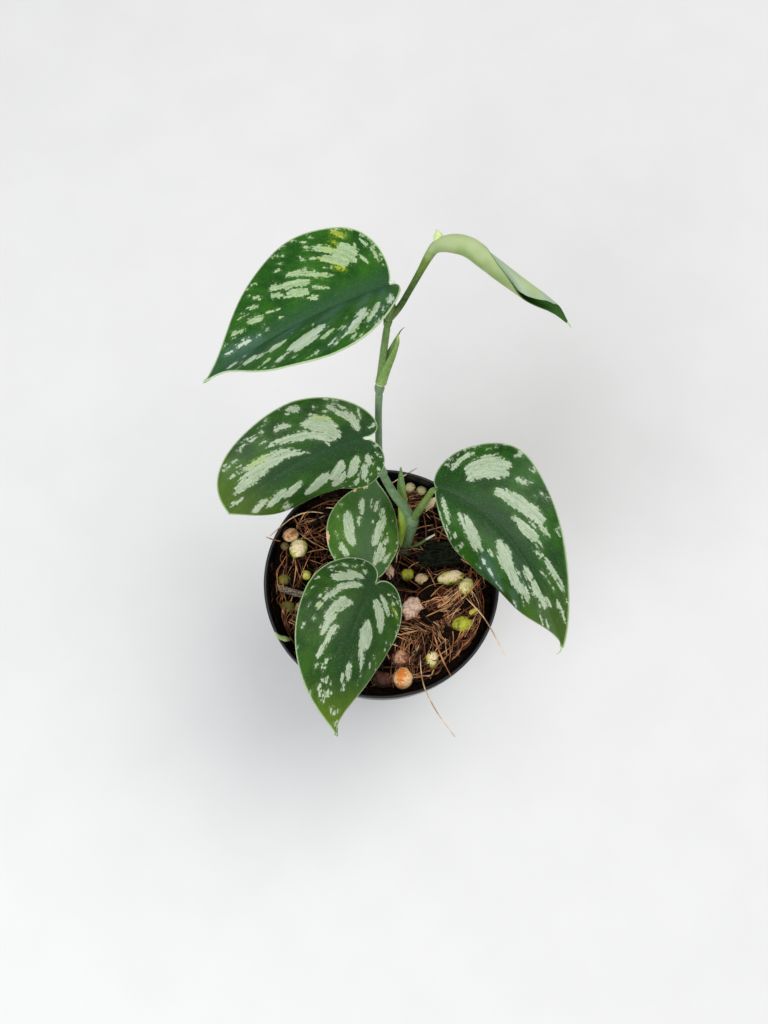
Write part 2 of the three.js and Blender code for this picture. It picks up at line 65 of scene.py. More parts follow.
camera = bpy.data.objects.new("camera", bpy.data.cameras.new("camera"))
camera.data.lens = LENS
camera.location = Vector(CAMERA_PLACE) * MM
camera.rotation_euler = (CAMERA_LEAN, 0, 0)
bpy.context.scene.collection.objects.link(camera)
bpy.context.scene.camera = camera
print("camera height in mm:", CAMERA_PLACE[2])

# %% [markdown]
# ## Light
#
# Leaves with a satin skin look flat in hard light and dull in none. One wide, cool lamp from the front
# left puts a soft sheen on the blades that lean that way. A weaker, warmer one fills the other side,
# and a pale sky keeps the shadows open.

# %% Hang the lamps
MIDDLE_OF_PLANT = (0, 10, 80)
LAMPS = {
    # place and size in millimetres, power in watts, tint
    "lamp_front": ((-420, -520, 620), 620, 4.6, (0.97, 0.99, 1.0)),
    "lamp_top": ((380, 260, 900), 700, 4.4, (1.0, 0.98, 0.95)),
}
SKY_TINT = (0.96, 0.98, 1.0, 1)
SKY_STRENGTH = 0.5


def show(name, content):
    """Puts a mesh, a lamp or a curve into the scene, as an object at the origin."""
    made = bpy.data.objects.new(name, content)
    bpy.context.scene.collection.objects.link(made)
    return made


def shown_mesh(name, shape):
    """The same for a bmesh, which is used up."""
    mesh = bpy.data.meshes.new(name)
    shape.to_mesh(mesh)
    shape.free()
    return show(name, mesh)


for name, (place, size, power, tint) in LAMPS.items():
    light = bpy.data.lights.new(name, "AREA")
    light.size = size * MM
    light.energy = power
    light.color = tint
    lamp = show(name, light)
    lamp.location = Vector(place) * MM
    aim = Vector(MIDDLE_OF_PLANT) * MM - lamp.location
    lamp.rotation_euler = aim.to_track_quat("-Z", "Y").to_euler()

sky = bpy.data.worlds.new("sky")
sky.use_nodes = True
background = sky.node_tree.nodes["Background"]
background.inputs["Color"].default_value = SKY_TINT
background.inputs["Strength"].default_value = SKY_STRENGTH
bpy.context.scene.world = sky
bpy.context.scene.view_settings.view_transform = "Standard"
print("lamps:", ", ".join(LAMPS))

# %% [markdown]
# ## Mixing paints
#
# Every finish below is a node tree. Typing out each node and wire would bury the idea, so this small
# class keeps one call for each thing that a paint does: read a place, make a noise, mix two colours.
# Colours are given as they look on a screen, from 0 to 255, and turned into linear light.

# %% A short way to write node trees


def colour(red, green, blue):
    """A screen colour as linear light."""
    def linear(value):
        share = value / 255
        return share / 12.92 if share <= 0.04045 else ((share + 0.055) / 1.055) ** 2.4
    return (linear(red), linear(green), linear(blue), 1)


MIX_SOCKETS = (0, 6, 7)  # a colour mix keeps its share and its two colours there


class Paint:
    """A material and the short calls that build its node tree. Each call returns a socket to go on from."""

    def __init__(self, name):
        self.material = bpy.data.materials.new(name)
        self.material.use_nodes = True
        self.tree = self.material.node_tree
        self.skin = self.tree.nodes["Principled BSDF"]
        self.place = self.node("ShaderNodeTexCoord").outputs["Object"]

    def node(self, kind, sockets=(), **settings):
        """Adds a node. A socket's value is a constant or another node's output."""
        made = self.tree.nodes.new(kind)
        for key, value in settings.items():
            setattr(made, key, value)
        for key, value in dict(sockets).items():
            self.set(made.inputs[key], value)
        return made

    def set(self, socket, value):
        if isinstance(value, bpy.types.NodeSocket):
            self.tree.links.new(value, socket)
        else:
            socket.default_value = value

    def read(self, name, kind="Fac"):
        """What the mesh carries at each of its points: a number (Fac) or a colour (Color)."""
        return self.node("ShaderNodeAttribute", attribute_name=name).outputs[kind]

    def laid_flat(self, name):
        """The mesh's own flat coordinates of that name."""
        return self.node("ShaderNodeUVMap", uv_map=name).outputs[0]

    def part(self, where, axis):
        return self.node("ShaderNodeSeparateXYZ", {0: where}).outputs[axis]

    def calculate(self, kind, first, second, third=0.0):
        return self.node("ShaderNodeMath", {0: first, 1: second, 2: third}, operation=kind).outputs[0]

    def plus(self, first, *others):
        for other in others:
            first = self.calculate("ADD", first, other)
        return first

    def push(self, noise, reach):
        """A noise from 0 to 1 as a push either way, centred on zero."""
        return self.calculate("MULTIPLY_ADD", noise, reach, -reach / 2)

    def clouds(self, where, scale, detail, rough):
        sockets = {"Vector": where, "Scale": scale, "Detail": detail, "Roughness": rough}
        return self.node("ShaderNodeTexNoise", sockets).outputs["Fac"]

    def noise(self, count, detail=2.0, rough=0.5):
        """An even noise with about this many features to the millimetre."""
        return self.clouds(self.place, count / MM, detail, rough)

    def grained(self, where, counts, detail=2.0, rough=0.5):
        """A noise drawn out along an axis, with a count of its own for each of the three."""
        stretched = self.node("ShaderNodeMapping", {"Vector": where, "Scale": counts}).outputs[0]
        return self.clouds(stretched, 1.0, detail, rough)

    def cells(self, count, feature="F1"):
        sockets = {"Vector": self.place, "Scale": count / MM}
        return self.node("ShaderNodeTexVoronoi", sockets, feature=feature).outputs["Distance"]

    def between(self, value, low, high, start=0.0, end=1.0):
        """Eases from start to end while the value goes from low to high."""
        sockets = {"Value": value, "From Min": low, "From Max": high, "To Min": start, "To Max": end}
        return self.node("ShaderNodeMapRange", sockets, interpolation_type="SMOOTHSTEP").outputs[0]

    def mix(self, share, under, tone):
        made = self.node("ShaderNodeMix", data_type="RGBA")
        for index, value in zip(MIX_SOCKETS, (share, under, tone)):
            self.set(made.inputs[index], value)
        return made.outputs[2]

    def over(self, under, tone, value, low, high, start=0.0, end=1.0):
        """Lays a tone over the skin, with a share that eases as in between."""
        return self.mix(self.between(value, low, high, start, end), under, tone)

    def bump(self, height, depth, share, below=None):
        """Relief of this depth in millimetres, on top of another relief if there is one below it."""
        sockets = {"Height": height, "Distance": depth * MM, "Strength": share}
        if below is not None:
            sockets["Normal"] = below
        return self.node("ShaderNodeBump", sockets).outputs[0]

    def finish(self, **sockets):
        """Sets the skin's own sockets, such as Base_Color or Roughness."""
        for key, value in sockets.items():
            self.set(self.skin.inputs[key.replace("_", " ")], value)
        return self.material


def per_mm(*counts):
    return [count / MM for count in counts]


print("a leaf green in linear light:", [round(value, 3) for value in colour(44, 98, 14)])

# %% [markdown]
# ## The floor
#
# The floor is one large plain square. Its paint is the simplest use of the class: two nearly equal tones,
# mixed by a slow noise, so that it doesn't look like an empty background.

# %% Lay the floor
FLOOR_REACH = 3000
FLOOR_TONES = ((0.79, 0.785, 0.785, 1), (0.81, 0.805, 0.805, 1))

floor_paint = Paint("pale_floor")
floor_speck = floor_paint.noise(0.04, 3.0)
floor_paint.finish(Base_Color=floor_paint.over(*FLOOR_TONES, floor_speck, 0.3, 0.7), Roughness=0.8)

shape = bmesh.new()
bmesh.ops.create_grid(shape, x_segments=1, y_segments=1, size=FLOOR_REACH * MM)
floor = shown_mesh("floor", shape)
floor.data.materials.append(floor_paint.material)
print("floor in metres:", 2 * FLOOR_REACH * MM)

# %% [markdown]
# ## Finishing a piece
#
# Each piece ends the same way. Its mesh goes into an object at the origin, takes its paints, rides on
# the plant's one body and hides the plain solids that it stands for. Sheets, such as leaves, get their
# thickness last, from a modifier.

# %% Turn a bmesh into a finished piece


STEM = dict(slot="green_stem", nodes=["stem"])
SHOOT = dict(slot="green_stem", nodes=["shoot_front"])
MIX = dict(slot="potting_mix", nodes=["soil"])


def hand_in(name, shape, *paints, slot, nodes=()):
    piece = shown_mesh(name, shape)
    for paint in paints:
        piece.data.materials.append(paint)
    faces = piece.data.polygons
    faces.foreach_set("use_smooth", [True] * len(faces))
    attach(piece, "root")
    if nodes:
        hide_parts(*nodes)
    print(f"{name}: {len(faces)} faces")
    return piece


def thicken(piece, thickness, offset):
    """Turns a sheet into a thin wall. Its underside and margin take the next paints, where it has them."""
    wall = piece.modifiers.new("thickness", "SOLIDIFY")
    wall.thickness = thickness * MM
    wall.offset = offset
    last = len(piece.data.materials) - 1
    wall.material_offset = min(1, last)
    wall.material_offset_rim = min(2, last)


def carry(shape, **stores):
    """Stores one number, or one colour, at each point of a shape, for its paint to read."""
    for name, values in stores.items():
        coloured = isinstance(values[0], tuple)
        layers = shape.verts.layers.float_color if coloured else shape.verts.layers.float
        layer = layers.new(name)
        for vert, value in zip(shape.verts, values):
            vert[layer] = value if coloured else float(value)


# %% [markdown]
# ## Smooth routes
#
# Stems, stalks and roots follow a few given points. A centripetal Catmull-Rom curve runs through
# all of them without loops, and evenly spaced places on it keep the rings of a tube regular.

# %% Run a smooth curve through points
DENSE = 24


def flow(points, count):
    """Evenly spaced places on the smooth curve through the points."""
    knots = [Vector(point) for point in points]
    knots = [2 * knots[0] - knots[1], *knots, 2 * knots[-1] - knots[-2]]
    dense = []
    for a, b, c, d in zip(knots, knots[1:], knots[2:], knots[3:]):
        before, here, after = (math.sqrt((q - p).length) for p, q in ((a, b), (b, c), (c, d)))
        leave = ((b - a) / before - (c - a) / (before + here) + (c - b) / here) * here
        reach = ((c - b) / here - (d - b) / (here + after) + (d - c) / after) * here
        for step in range(DENSE):
            s = step / DENSE
            dense.append(
                b * (2 * s ** 3 - 3 * s ** 2 + 1) + leave * (s ** 3 - 2 * s ** 2 + s)
                + c * (3 * s ** 2 - 2 * s ** 3) + reach * (s ** 3 - s ** 2)
            )
    dense.append(knots[-2])
    places = np.array(dense)
    run = np.concatenate([[0], np.cumsum(np.linalg.norm(np.diff(places, axis=0), axis=1))])
    even = np.linspace(0, run[-1], count + 1)
    return [Vector([np.interp(step, run, places[:, axis]) for axis in range(3)]) for step in even]


def widths(points, radii, count):
    """The radii given at the points, at the evenly spaced places between them."""
    chords = [(Vector(q) - Vector(p)).length for p, q in zip(points, points[1:])]
    run = np.concatenate([[0], np.cumsum(chords)])
    return np.interp(np.linspace(0, run[-1], count + 1), run, radii)


def axes_along(route):
    """Two crossways directions at each place, carried along the route without twisting."""
    ahead = [(q - p).normalized() for p, q in zip(route, route[1:])]
    ahead.append(ahead[-1])
    least = min(range(3), key=lambda axis: abs(ahead[0][axis]))
    start = Vector([1.0 if axis == least else 0.0 for axis in range(3)])
    first = ahead[0].cross(ahead[0].cross(start).normalized())
    frames = []
    for step, way in enumerate(ahead):
        if step:
            first.rotate(ahead[step - 1].rotation_difference(way))
        frames.append((first.copy(), way.cross(first)))
    return frames


# %% [markdown]
# ## The form of a leaf
#
# A pothos blade is a heart with a drawn-out tip. Its midrib is an arched curve, each half hangs from it
# in a bend of its own, and a slow wave runs along the margin. All of this is a formula of two numbers:
# u, the share of the way along the midrib, and v, the millimetres across it. A formula is better here
# than pulling points about, because marks, veins, ribs and stalks can ask it for their places too.
# The numbers are those of the plain solids, so the finished leaf lies where its solid does.

# %% Describe the five open leaves
LEAVES = {
    "leaf_back": dict(
        base=(2, 62.1, 133), tip=(-48.1, 43.1, 112.4), arch=2, sway=-0.8, peak=0.45,
        roll=20, twist=-2.5, wave=0.42, phase=-0.12,
        left=dict(
            width=19.3, widest=0.23, lobe=0.15, round=0.2,
            full=0.74, taper=0.21, slim=0, fold=-25, curl=24,
        ),
        right=dict(
            width=22, widest=0.32, lobe=0.05, round=0.36,
            full=0.52, taper=0.21, slim=0.21, fold=-25, curl=5,
        ),
    ),
    "leaf_left": dict(
        base=(-4.9, 31, 100.6), tip=(-43, 13, 87), arch=3.4, sway=-4.7, peak=0.35,
        roll=-39, twist=-10, wave=0.24, phase=0.2,
        left=dict(
            width=19, widest=0.23, lobe=0.27, round=0.51,
            full=0.9, taper=0.13, slim=0.4, fold=-4.5, curl=60,
        ),
        right=dict(
            width=16.2, widest=0.38, lobe=0.33, round=0.2,
            full=0.9, taper=0.05, slim=0.39, fold=-8.5, curl=50,
        ),
    ),
    "leaf_centre": dict(
        base=(-1, -0.5, 69), tip=(-1.7, 31.8, 63), arch=1, sway=3.9, peak=0.35,
        roll=15, twist=-8.5, wave=0.14, phase=0,
        left=dict(
            width=11.6, widest=0.5, lobe=0.08, round=0.33,
            full=0.67, taper=0.1, slim=0.18, fold=2.5, curl=21, bend=0.4,
        ),
        right=dict(
            width=11.5, widest=0.48, lobe=0.05, round=0.35,
            full=0.78, taper=0.08, slim=0.2, fold=6.5, curl=25, bend=0.4,
        ),
    ),
    "leaf_front": dict(
        base=(-1.5, -4.2, 76.3), tip=(-12.6, -47.2, 72.3), arch=5.5, sway=-6, peak=0.44,
        roll=-27, twist=-6, wave=0.14, phase=0,
        left=dict(
            width=16.2, widest=0.3, lobe=0.16, round=0.42,
            full=0.72, taper=0.19, slim=0, fold=4, curl=31,
        ),
        right=dict(
            width=16.8, widest=0.27, lobe=0.22, round=0.36,
            full=0.56, taper=0.09, slim=0.14, fold=3.5, curl=23,
        ),
    ),
    "leaf_right": dict(
        base=(15.9, 21.3, 85), tip=(51.3, -22.6, 74), arch=4.1, sway=6.4, peak=0.35,
        roll=-2, twist=40, wave=2.2, phase=-0.47,
        left=dict(
            width=20.5, widest=0.28, lobe=0.11, round=0.2,
            full=0.2, taper=0.05, slim=0.28, fold=-22, curl=5,
        ),
        right=dict(
            width=19, widest=0.51, lobe=0.05, round=0.26,
            full=0.66, taper=0.12, slim=0, fold=3, curl=70, bend=0.4,
        ),
    ),
}
print("open leaves:", ", ".join(LEAVES))

# %% [markdown]
# ## The leaf as a formula
#
# The class turns those measures into places. Its face gives the place of u and v on the upper side, and
# its normal the way that this side looks. Its margin and its veins give u and v themselves, so that
# marks and rows of faces can be laid out in them.

# %% Turn the measures into places
SIDES = {1: "left", -1: "right"}
WAVES = 2.5  # along each margin
WAVE_LAG = 0.4  # of the right half's waves against those of the left half
NOTCH_SPREAD = 0.1  # how wide the margin starts beside the notch, as a share of the half's width
VEIN_SWEEP = 5.0
VEIN_BULGE = 0.3
BESIDE_RIB = 0.02  # the nearest that a slope is measured to the midrib, in millimetres
STEP_ALONG, STEP_ACROSS = 0.002, 0.1


def bezier(a, b, c, d, s):
    return a * (1 - s) ** 3 + 3 * b * s * (1 - s) ** 2 + 3 * c * s * s * (1 - s) + d * s ** 3


class Blade:
    """One open leaf as a formula of u and v. Its side is 1 to the left of the midrib and -1 to the right."""

    def __init__(self, base, tip, arch, sway, peak, roll, twist, wave, phase, left, right):
        self.base, self.tip = Vector(base), Vector(tip)
        self.length = (self.tip - self.base).length
        self.twist, self.wave, self.phase = math.radians(twist), wave, phase
        self.halves = {1: left, -1: right}
        chord = (self.tip - self.base).normalized()
        self.side = Vector((0, 0, 1)).cross(chord).normalized()
        self.side.rotate(Quaternion(chord, math.radians(roll)))
        up = chord.cross(self.side)
        self.crest = self.base.lerp(self.tip, peak) + up * (2 * arch) + self.side * (2 * sway)

    def face(self, u, v):
        """The place on the upper face."""
        place = self.base * (1 - u) ** 2 + self.crest * (2 * u * (1 - u)) + self.tip * (u * u)
        ahead = ((self.crest - self.base) * (1 - u) + (self.tip - self.crest) * u).normalized()
        across = (self.side - ahead * self.side.dot(ahead)).normalized()
        across.rotate(Quaternion(ahead, self.twist * u))
        normal = ahead.cross(across)
        side = 1 if v >= 0 else -1
        half = self.halves[side]
        share = abs(v) / half["width"]
        start, turn = math.radians(half["fold"]), math.radians(half["curl"])
        out = half["width"] / turn * (math.sin(start + turn * share) - math.sin(start))
        drop = half["width"] / turn * (math.cos(start) - math.cos(start + turn * share))
        beat = self.phase + (0 if v >= 0 else WAVE_LAG)
        wave = self.wave * share ** 2 * math.sin(2 * math.pi * (WAVES * u + beat))
        return place + across * (side * out) + normal * (wave - drop)

    def normal(self, u, v):
        """The way that the upper face looks. Steps stay within one half, as the halves meet in a crease."""
        if abs(v) < BESIDE_RIB / 2:
            return (self.normal(u, BESIDE_RIB) + self.normal(u, -BESIDE_RIB)).normalized()
        side = 1 if v > 0 else -1
        ahead = self.face(u + STEP_ALONG, v) - self.face(u - STEP_ALONG, v)
        across = self.face(u, v + STEP_ACROSS * side) - self.face(u, v)
        return (ahead.cross(across) * side).normalized()

    def margin(self, side, m):
        """The edge of a half. It runs from the notch round the lobe to the tip while m goes from 0 to 1."""
        h = self.halves[side]
        width, widest = h["width"], h["widest"]
        if m < 0.5:
            along = bezier(0, -h["lobe"], widest - h["round"], widest, 2 * m)
            return along, bezier(0, NOTCH_SPREAD * width, width, width, 2 * m)
        full = widest + h["full"] * (1 - widest)
        along = bezier(widest, full, 1 - h["taper"], 1, 2 * m - 1)
        return along, bezier(width, width, h["slim"] * width, 0, 2 * m - 1)

    def on_vein(self, side, vein, t):
        """u and v at share t of the way out along a vein. Veins leave the midrib low and sweep to the tip."""
        edge, width = self.margin(side, vein)
        root = vein ** VEIN_SWEEP
        bend = self.halves[side].get("bend", 1.0)
        along = root + (edge - root) * t ** (1 + bend)
        return along, side * width * t * (1 + VEIN_BULGE * bend * (1 - t))


blades = {name: Blade(**measures) for name, measures in LEAVES.items()}
for name, blade in blades.items():
    print(f"{name}: midrib {blade.length:.0f} mm")

# %% [markdown]
# ## The silver marks
#
# A satin pothos carries silver where air lies under the skin. The marks are strokes along the veins,
# each a little ragged, and every leaf has its own. Each stroke is listed as a gardener would
# describe it: the vein that it lies on, from 0 at the stalk to 1 at the tip, where it starts and ends
# between midrib (0) and margin (1), and its width in millimetres. Lime is a yellower patch in the
# green, sheen a painted bluish reflection laid into the colour, and dry a scorched spot on the margin.
# These three say their side first, 1 for the left.

# %% Set the marks of each leaf
MARKS = {
    "leaf_back": dict(
        left=[
            (0.27, 0.53, 0.8, 2.0), (0.39, 0.86, 0.95, 0.8), (0.51, 0.34, 0.68, 2.0),
            (0.52, 0.8, 0.88, 0.7), (0.55, 0.6, 0.76, 2.4), (0.56, 0.46, 0.61, 2.6), (0.59, 0.4, 0.5, 2.4),
            (0.58, 0.76, 0.85, 0.9), (0.59, 0.89, 0.93, 1.3), (0.64, 0.64, 0.74, 1.6),
            (0.68, 0.69, 0.85, 2.6), (0.71, 0.57, 0.84, 3.4), (0.69, 0.89, 0.93, 1.5),
            (0.74, 0.9, 0.94, 1.5), (0.79, 0.71, 0.84, 2.0), (0.8, 0.86, 0.89, 1.2),
            (0.83, 0.86, 0.93, 2.2), (0.91, 0.84, 0.93, 1.4),
        ],
        right=[
            (0.37, 0.3, 0.55, 0.8), (0.41, 0.5, 0.64, 0.8), (0.53, 0.27, 0.4, 0.6), (0.54, 0.43, 0.61, 3.0),
            (0.57, 0.62, 0.76, 2.0), (0.58, 0.38, 0.6, 3.0), (0.62, 0.4, 0.64, 2.4),
            (0.57, 0.79, 0.83, 1.1), (0.6, 0.89, 0.93, 0.7), (0.62, 0.67, 0.71, 1.1),
            (0.66, 0.84, 0.88, 0.9), (0.69, 0.57, 0.78, 1.7), (0.7, 0.42, 0.64, 1.4),
            (0.73, 0.55, 0.78, 2.2), (0.73, 0.71, 0.84, 1.4), (0.75, 0.32, 0.5, 0.8),
            (0.77, 0.49, 0.67, 2.2), (0.76, 0.73, 0.79, 1.6), (0.79, 0.32, 0.43, 1.1),
            (0.83, 0.75, 0.86, 1.9), (0.78, 0.85, 0.91, 0.9), (0.85, 0.85, 0.95, 1.3),
            (0.91, 0.6, 0.8, 1.1), (0.92, 0.78, 0.87, 0.6),
        ],
        lime=[
            (-1, 0.46, 0.7, 0.9, 3.0), (-1, 0.52, 0.66, 0.74, 2.2), (-1, 0.56, 0.6, 0.72, 2.4),
            (-1, 0.62, 0.6, 0.66, 2.0), (-1, 0.65, 0.36, 0.52, 2.6), (-1, 0.7, 0.46, 0.55, 1.7),
            (-1, 0.4, 0.88, 0.96, 2.0),
        ],
        # painted reflection: these strokes lay a bluish shine into the colour, over the left half and the tip
        painted_sheen=[
            (-1, 0.92, 0.2, 0.95, 4.0), (1, 0.94, 0.05, 0.9, 4.0), (1, 0.86, 0.1, 0.6, 3.6),
            (1, 0.76, 0.06, 0.5, 4.0), (1, 0.64, 0.04, 0.36, 4.0), (1, 0.5, 0.04, 0.3, 3.0),
            (1, 0.82, 0.5, 0.94, 1.8), (1, 0.7, 0.4, 0.92, 1.8), (1, 0.58, 0.3, 0.9, 1.8),
            (1, 0.44, 0.2, 0.86, 1.8), (1, 0.28, 0.3, 0.84, 1.5),
        ],
    ),
    "leaf_left": dict(
        left=[
            (0.1, 0.74, 0.92, 0.5), (0.17, 0.7, 0.94, 0.7), (0.25, 0.86, 0.97, 0.6), (0.35, 0.8, 0.92, 0.7),
            (0.28, 0.38, 0.56, 2.4), (0.38, 0.42, 0.68, 3.2), (0.45, 0.62, 0.8, 2.0),
            (0.55, 0.23, 0.54, 3.7), (0.6, 0.48, 0.77, 3.4), (0.67, 0.32, 0.6, 3.8), (0.72, 0.5, 0.84, 3.8),
            (0.75, 0.93, 0.97, 1.3), (0.82, 0.6, 0.83, 2.2), (0.86, 0.68, 0.9, 2.8), (0.9, 0.78, 0.96, 2.0),
        ],
        right=[
            (0.14, 0.62, 0.94, 0.8), (0.28, 0.58, 0.77, 0.7), (0.52, 0.5, 0.63, 1.1),
            (0.5, 0.13, 0.42, 2.3), (0.53, 0.34, 0.5, 1.8), (0.54, 0.8, 0.88, 1.6), (0.54, 0.68, 0.7, 0.9),
            (0.62, 0.44, 0.6, 2.2), (0.66, 0.29, 0.61, 3.0), (0.69, 0.15, 0.5, 2.6), (0.65, 0.7, 0.78, 1.6),
            (0.64, 0.85, 0.865, 1.1), (0.66, 0.88, 0.895, 1.2), (0.69, 0.915, 0.925, 1.2),
            (0.73, 0.92, 0.93, 0.9), (0.57, 0.925, 0.935, 0.9), (0.74, 0.13, 0.76, 2.5),
            (0.72, 0.12, 0.34, 2.0), (0.76, 0.02, 0.2, 0.5), (0.83, 0.04, 0.3, 0.5),
            (0.81, 0.48, 0.87, 2.0), (0.835, 0.24, 0.8, 2.0), (0.85, 0.46, 0.86, 2.4),
            (0.88, 0.54, 0.87, 2.2), (0.9, 0.62, 0.89, 1.9), (0.74, 0.95, 0.98, 0.9),
            (0.8, 0.89, 0.93, 0.8), (0.96, 0.6, 0.9, 1.2),
        ],
        lime=[(-1, 0.61, 0.44, 0.6, 2.4), (-1, 0.8, 0.68, 0.84, 2.4), (1, 0.89, 0.74, 0.86, 1.6)],
    ),
    "leaf_centre": dict(
        left=[
            (0.57, 0.51, 0.68, 1.2), (0.59, 0.73, 0.8, 0.6), (0.71, 0.44, 0.69, 2.7),
            (0.71, 0.69, 0.76, 1.2), (0.74, 0.56, 0.8, 2.4), (0.84, 0.4, 0.58, 1.2),
            (0.88, 0.44, 0.77, 1.5), (0.585, 0.5, 0.68, 1.3),
        ],
        right=[
            (0.6, 0.25, 0.54, 1.7), (0.62, 0.58, 0.71, 1.3), (0.66, 0.06, 0.54, 1.9),
            (0.74, 0.31, 0.84, 2.6), (0.78, 0.75, 0.86, 1.2), (0.85, 0.66, 0.81, 1.1),
            (0.5, 0.3, 0.62, 1.3),
        ],
        dry=[
            (1, 0.5, 0.93, 1.0, 1.6), (1, 0.46, 0.98, 1.02, 1.4), (1, 0.8, 0.97, 1.02, 1.3),
            (1, 0.88, 0.95, 1.02, 1.5),
        ],
    ),
    "leaf_front": dict(
        left=[
            (0.34, 0.52, 0.58, 1.1), (0.39, 0.62, 0.67, 1.2), (0.52, 0.15, 0.47, 1.8),
            (0.56, 0.86, 0.9, 1.0), (0.62, 0.15, 0.6, 3.2), (0.73, 0.34, 0.66, 3.8),
            (0.77, 0.34, 0.74, 2.4), (0.76, 0.64, 0.84, 1.8), (0.76, 0.86, 0.89, 0.8),
            (0.86, 0.53, 0.76, 1.6), (0.915, 0.25, 0.5, 1.1), (0.9, 0.62, 0.72, 0.9),
            (0.965, 0.5, 0.54, 0.9), (0.975, 0.68, 0.72, 0.9), (0.985, 0.4, 0.46, 0.8),
        ],
        right=[
            (0.23, 0.44, 0.54, 1.0), (0.31, 0.57, 0.66, 0.9), (0.36, 0.62, 0.74, 0.9),
            (0.41, 0.76, 0.84, 0.8), (0.45, 0.2, 0.46, 1.9), (0.51, 0.32, 0.6, 2.7),
            (0.595, 0.16, 0.5, 2.1), (0.615, 0.42, 0.66, 1.7), (0.62, 0.7, 0.73, 1.8),
            (0.69, 0.34, 0.65, 2.7), (0.71, 0.25, 0.52, 1.8), (0.72, 0.5, 0.72, 2.2),
            (0.765, 0.48, 0.7, 1.7), (0.76, 0.7, 0.8, 1.5), (0.77, 0.825, 0.85, 1.1),
            (0.81, 0.7, 0.72, 1.1), (0.845, 0.76, 0.785, 1.1), (0.87, 0.81, 0.84, 1.2),
            (0.81, 0.89, 0.91, 0.9), (0.95, 0.72, 0.75, 0.9), (0.965, 0.82, 0.85, 0.9),
            (0.98, 0.6, 0.66, 0.9),
        ],
        lime=[(1, 0.4, 0.45, 0.8, 2.4), (-1, 0.62, 0.7, 0.735, 1.8)],
        dry=[(1, 0.3, 0.36, 0.42, 0.7)],
    ),
    "leaf_right": dict(
        left=[
            (0.48, 0.25, 0.45, 1.3), (0.48, 0.44, 0.6, 0.9), (0.53, 0.91, 0.95, 0.9),
            (0.57, 0.5, 0.74, 2.0), (0.6, 0.34, 0.76, 4.0), (0.64, 0.26, 0.7, 3.0), (0.65, 0.74, 0.82, 1.3),
            (0.65, 0.9, 0.94, 0.8), (0.725, 0.44, 0.6, 2.4), (0.735, 0.5, 0.84, 4.0),
            (0.76, 0.78, 0.87, 1.4), (0.8, 0.46, 0.58, 1.6), (0.81, 0.52, 0.72, 2.9),
            (0.85, 0.62, 0.7, 0.9), (0.84, 0.75, 0.9, 1.8), (0.84, 0.88, 0.95, 1.4), (0.9, 0.84, 0.94, 1.2),
            (0.955, 0.1, 0.5, 1.2),
        ],
        right=[
            (0.5, 0.08, 0.4, 1.5), (0.51, 0.51, 0.54, 1.5), (0.52, 0.63, 0.66, 1.5),
            (0.635, 0.2, 0.66, 2.0), (0.67, 0.24, 0.62, 2.6), (0.775, 0.5, 0.74, 2.9),
            (0.8, 0.37, 0.62, 3.3), (0.79, 0.58, 0.84, 3.2), (0.82, 0.74, 0.87, 1.8),
            (0.89, 0.36, 0.52, 2.0), (0.91, 0.42, 0.6, 2.2), (0.925, 0.5, 0.68, 1.6),
            (0.65, 0.68, 0.74, 1.3), (0.66, 0.76, 0.84, 1.2), (0.72, 0.56, 0.62, 1.0),
            (0.93, 0.34, 0.39, 1.5),
        ],
        # painted reflection: a bluish shine laid into the colour of the right half
        painted_sheen=[(-1, 0.66, 0.66, 0.96, 6.0), (-1, 0.74, 0.86, 0.98, 3.0), (-1, 0.58, 0.8, 0.95, 2.4)],
    ),
}
for name, marks in MARKS.items():
    print(f"{name}: {sum(len(strokes) for strokes in marks.values())} marks")

# %% [markdown]
# ## How deep a point lies in a mark
#
# The paint has to know how far each point is inside a stroke or outside it. That distance is measured on
# the blade laid flat, where the strokes keep their width. Small flecks fill the outer part of the blade.
# Nobody would set them one by one, so a seed draws them.

# %% Measure the depth of the marks
FLECKS = dict(leaf_back=120, leaf_left=60, leaf_centre=30, leaf_front=64, leaf_right=110)
FLECK_VEINS = (0.2, 0.93)
FLECK_WIDTH = (0.25, 0.6)  # in millimetres
FLECK_LENGTH = (0.015, 0.05)  # as a share of the vein
FLECK_BAND = 0.5  # the flecks keep to this outer share of the blade
STROKE_STEPS = 14
FAR_OUTSIDE = -4.0  # a depth that no noise can lift above zero


def flat_place(blade, side, vein, t):
    """A place on the blade laid flat, in millimetres."""
    u, v = blade.on_vein(side, vein, t)
    return u * blade.length, v


def stroke_depth(blade, side, strokes, places):
    """How far inside the nearest stroke each place lies, in millimetres. It is below zero outside."""
    depth = np.full(len(places), FAR_OUTSIDE)
    for vein, start, end, width in strokes:
        for step in range(STROKE_STEPS + 1):
            share = step / STROKE_STEPS
            thick = width * (1 - abs(2 * share - 1) ** 3) ** 0.5
            centre = np.array(flat_place(blade, side, vein, start + (end - start) * share))
            depth = np.maximum(depth, thick / 2 - np.linalg.norm(places - centre, axis=1))
    return depth


def scattered_flecks(blade, count, seed):
    """Small flecks in the outer part of both halves, where the strokes thin out."""
    draw = random.Random(seed)
    flecks = {1: [], -1: []}
    for _ in range(count):
        t = 1 - FLECK_BAND * draw.random() ** 1.5
        width, long = draw.uniform(*FLECK_WIDTH), draw.uniform(*FLECK_LENGTH)
        flecks[draw.choice((1, -1))].append((draw.uniform(*FLECK_VEINS), t - long, t, width))
    return flecks


print("flecks in all:", sum(FLECKS.values()))
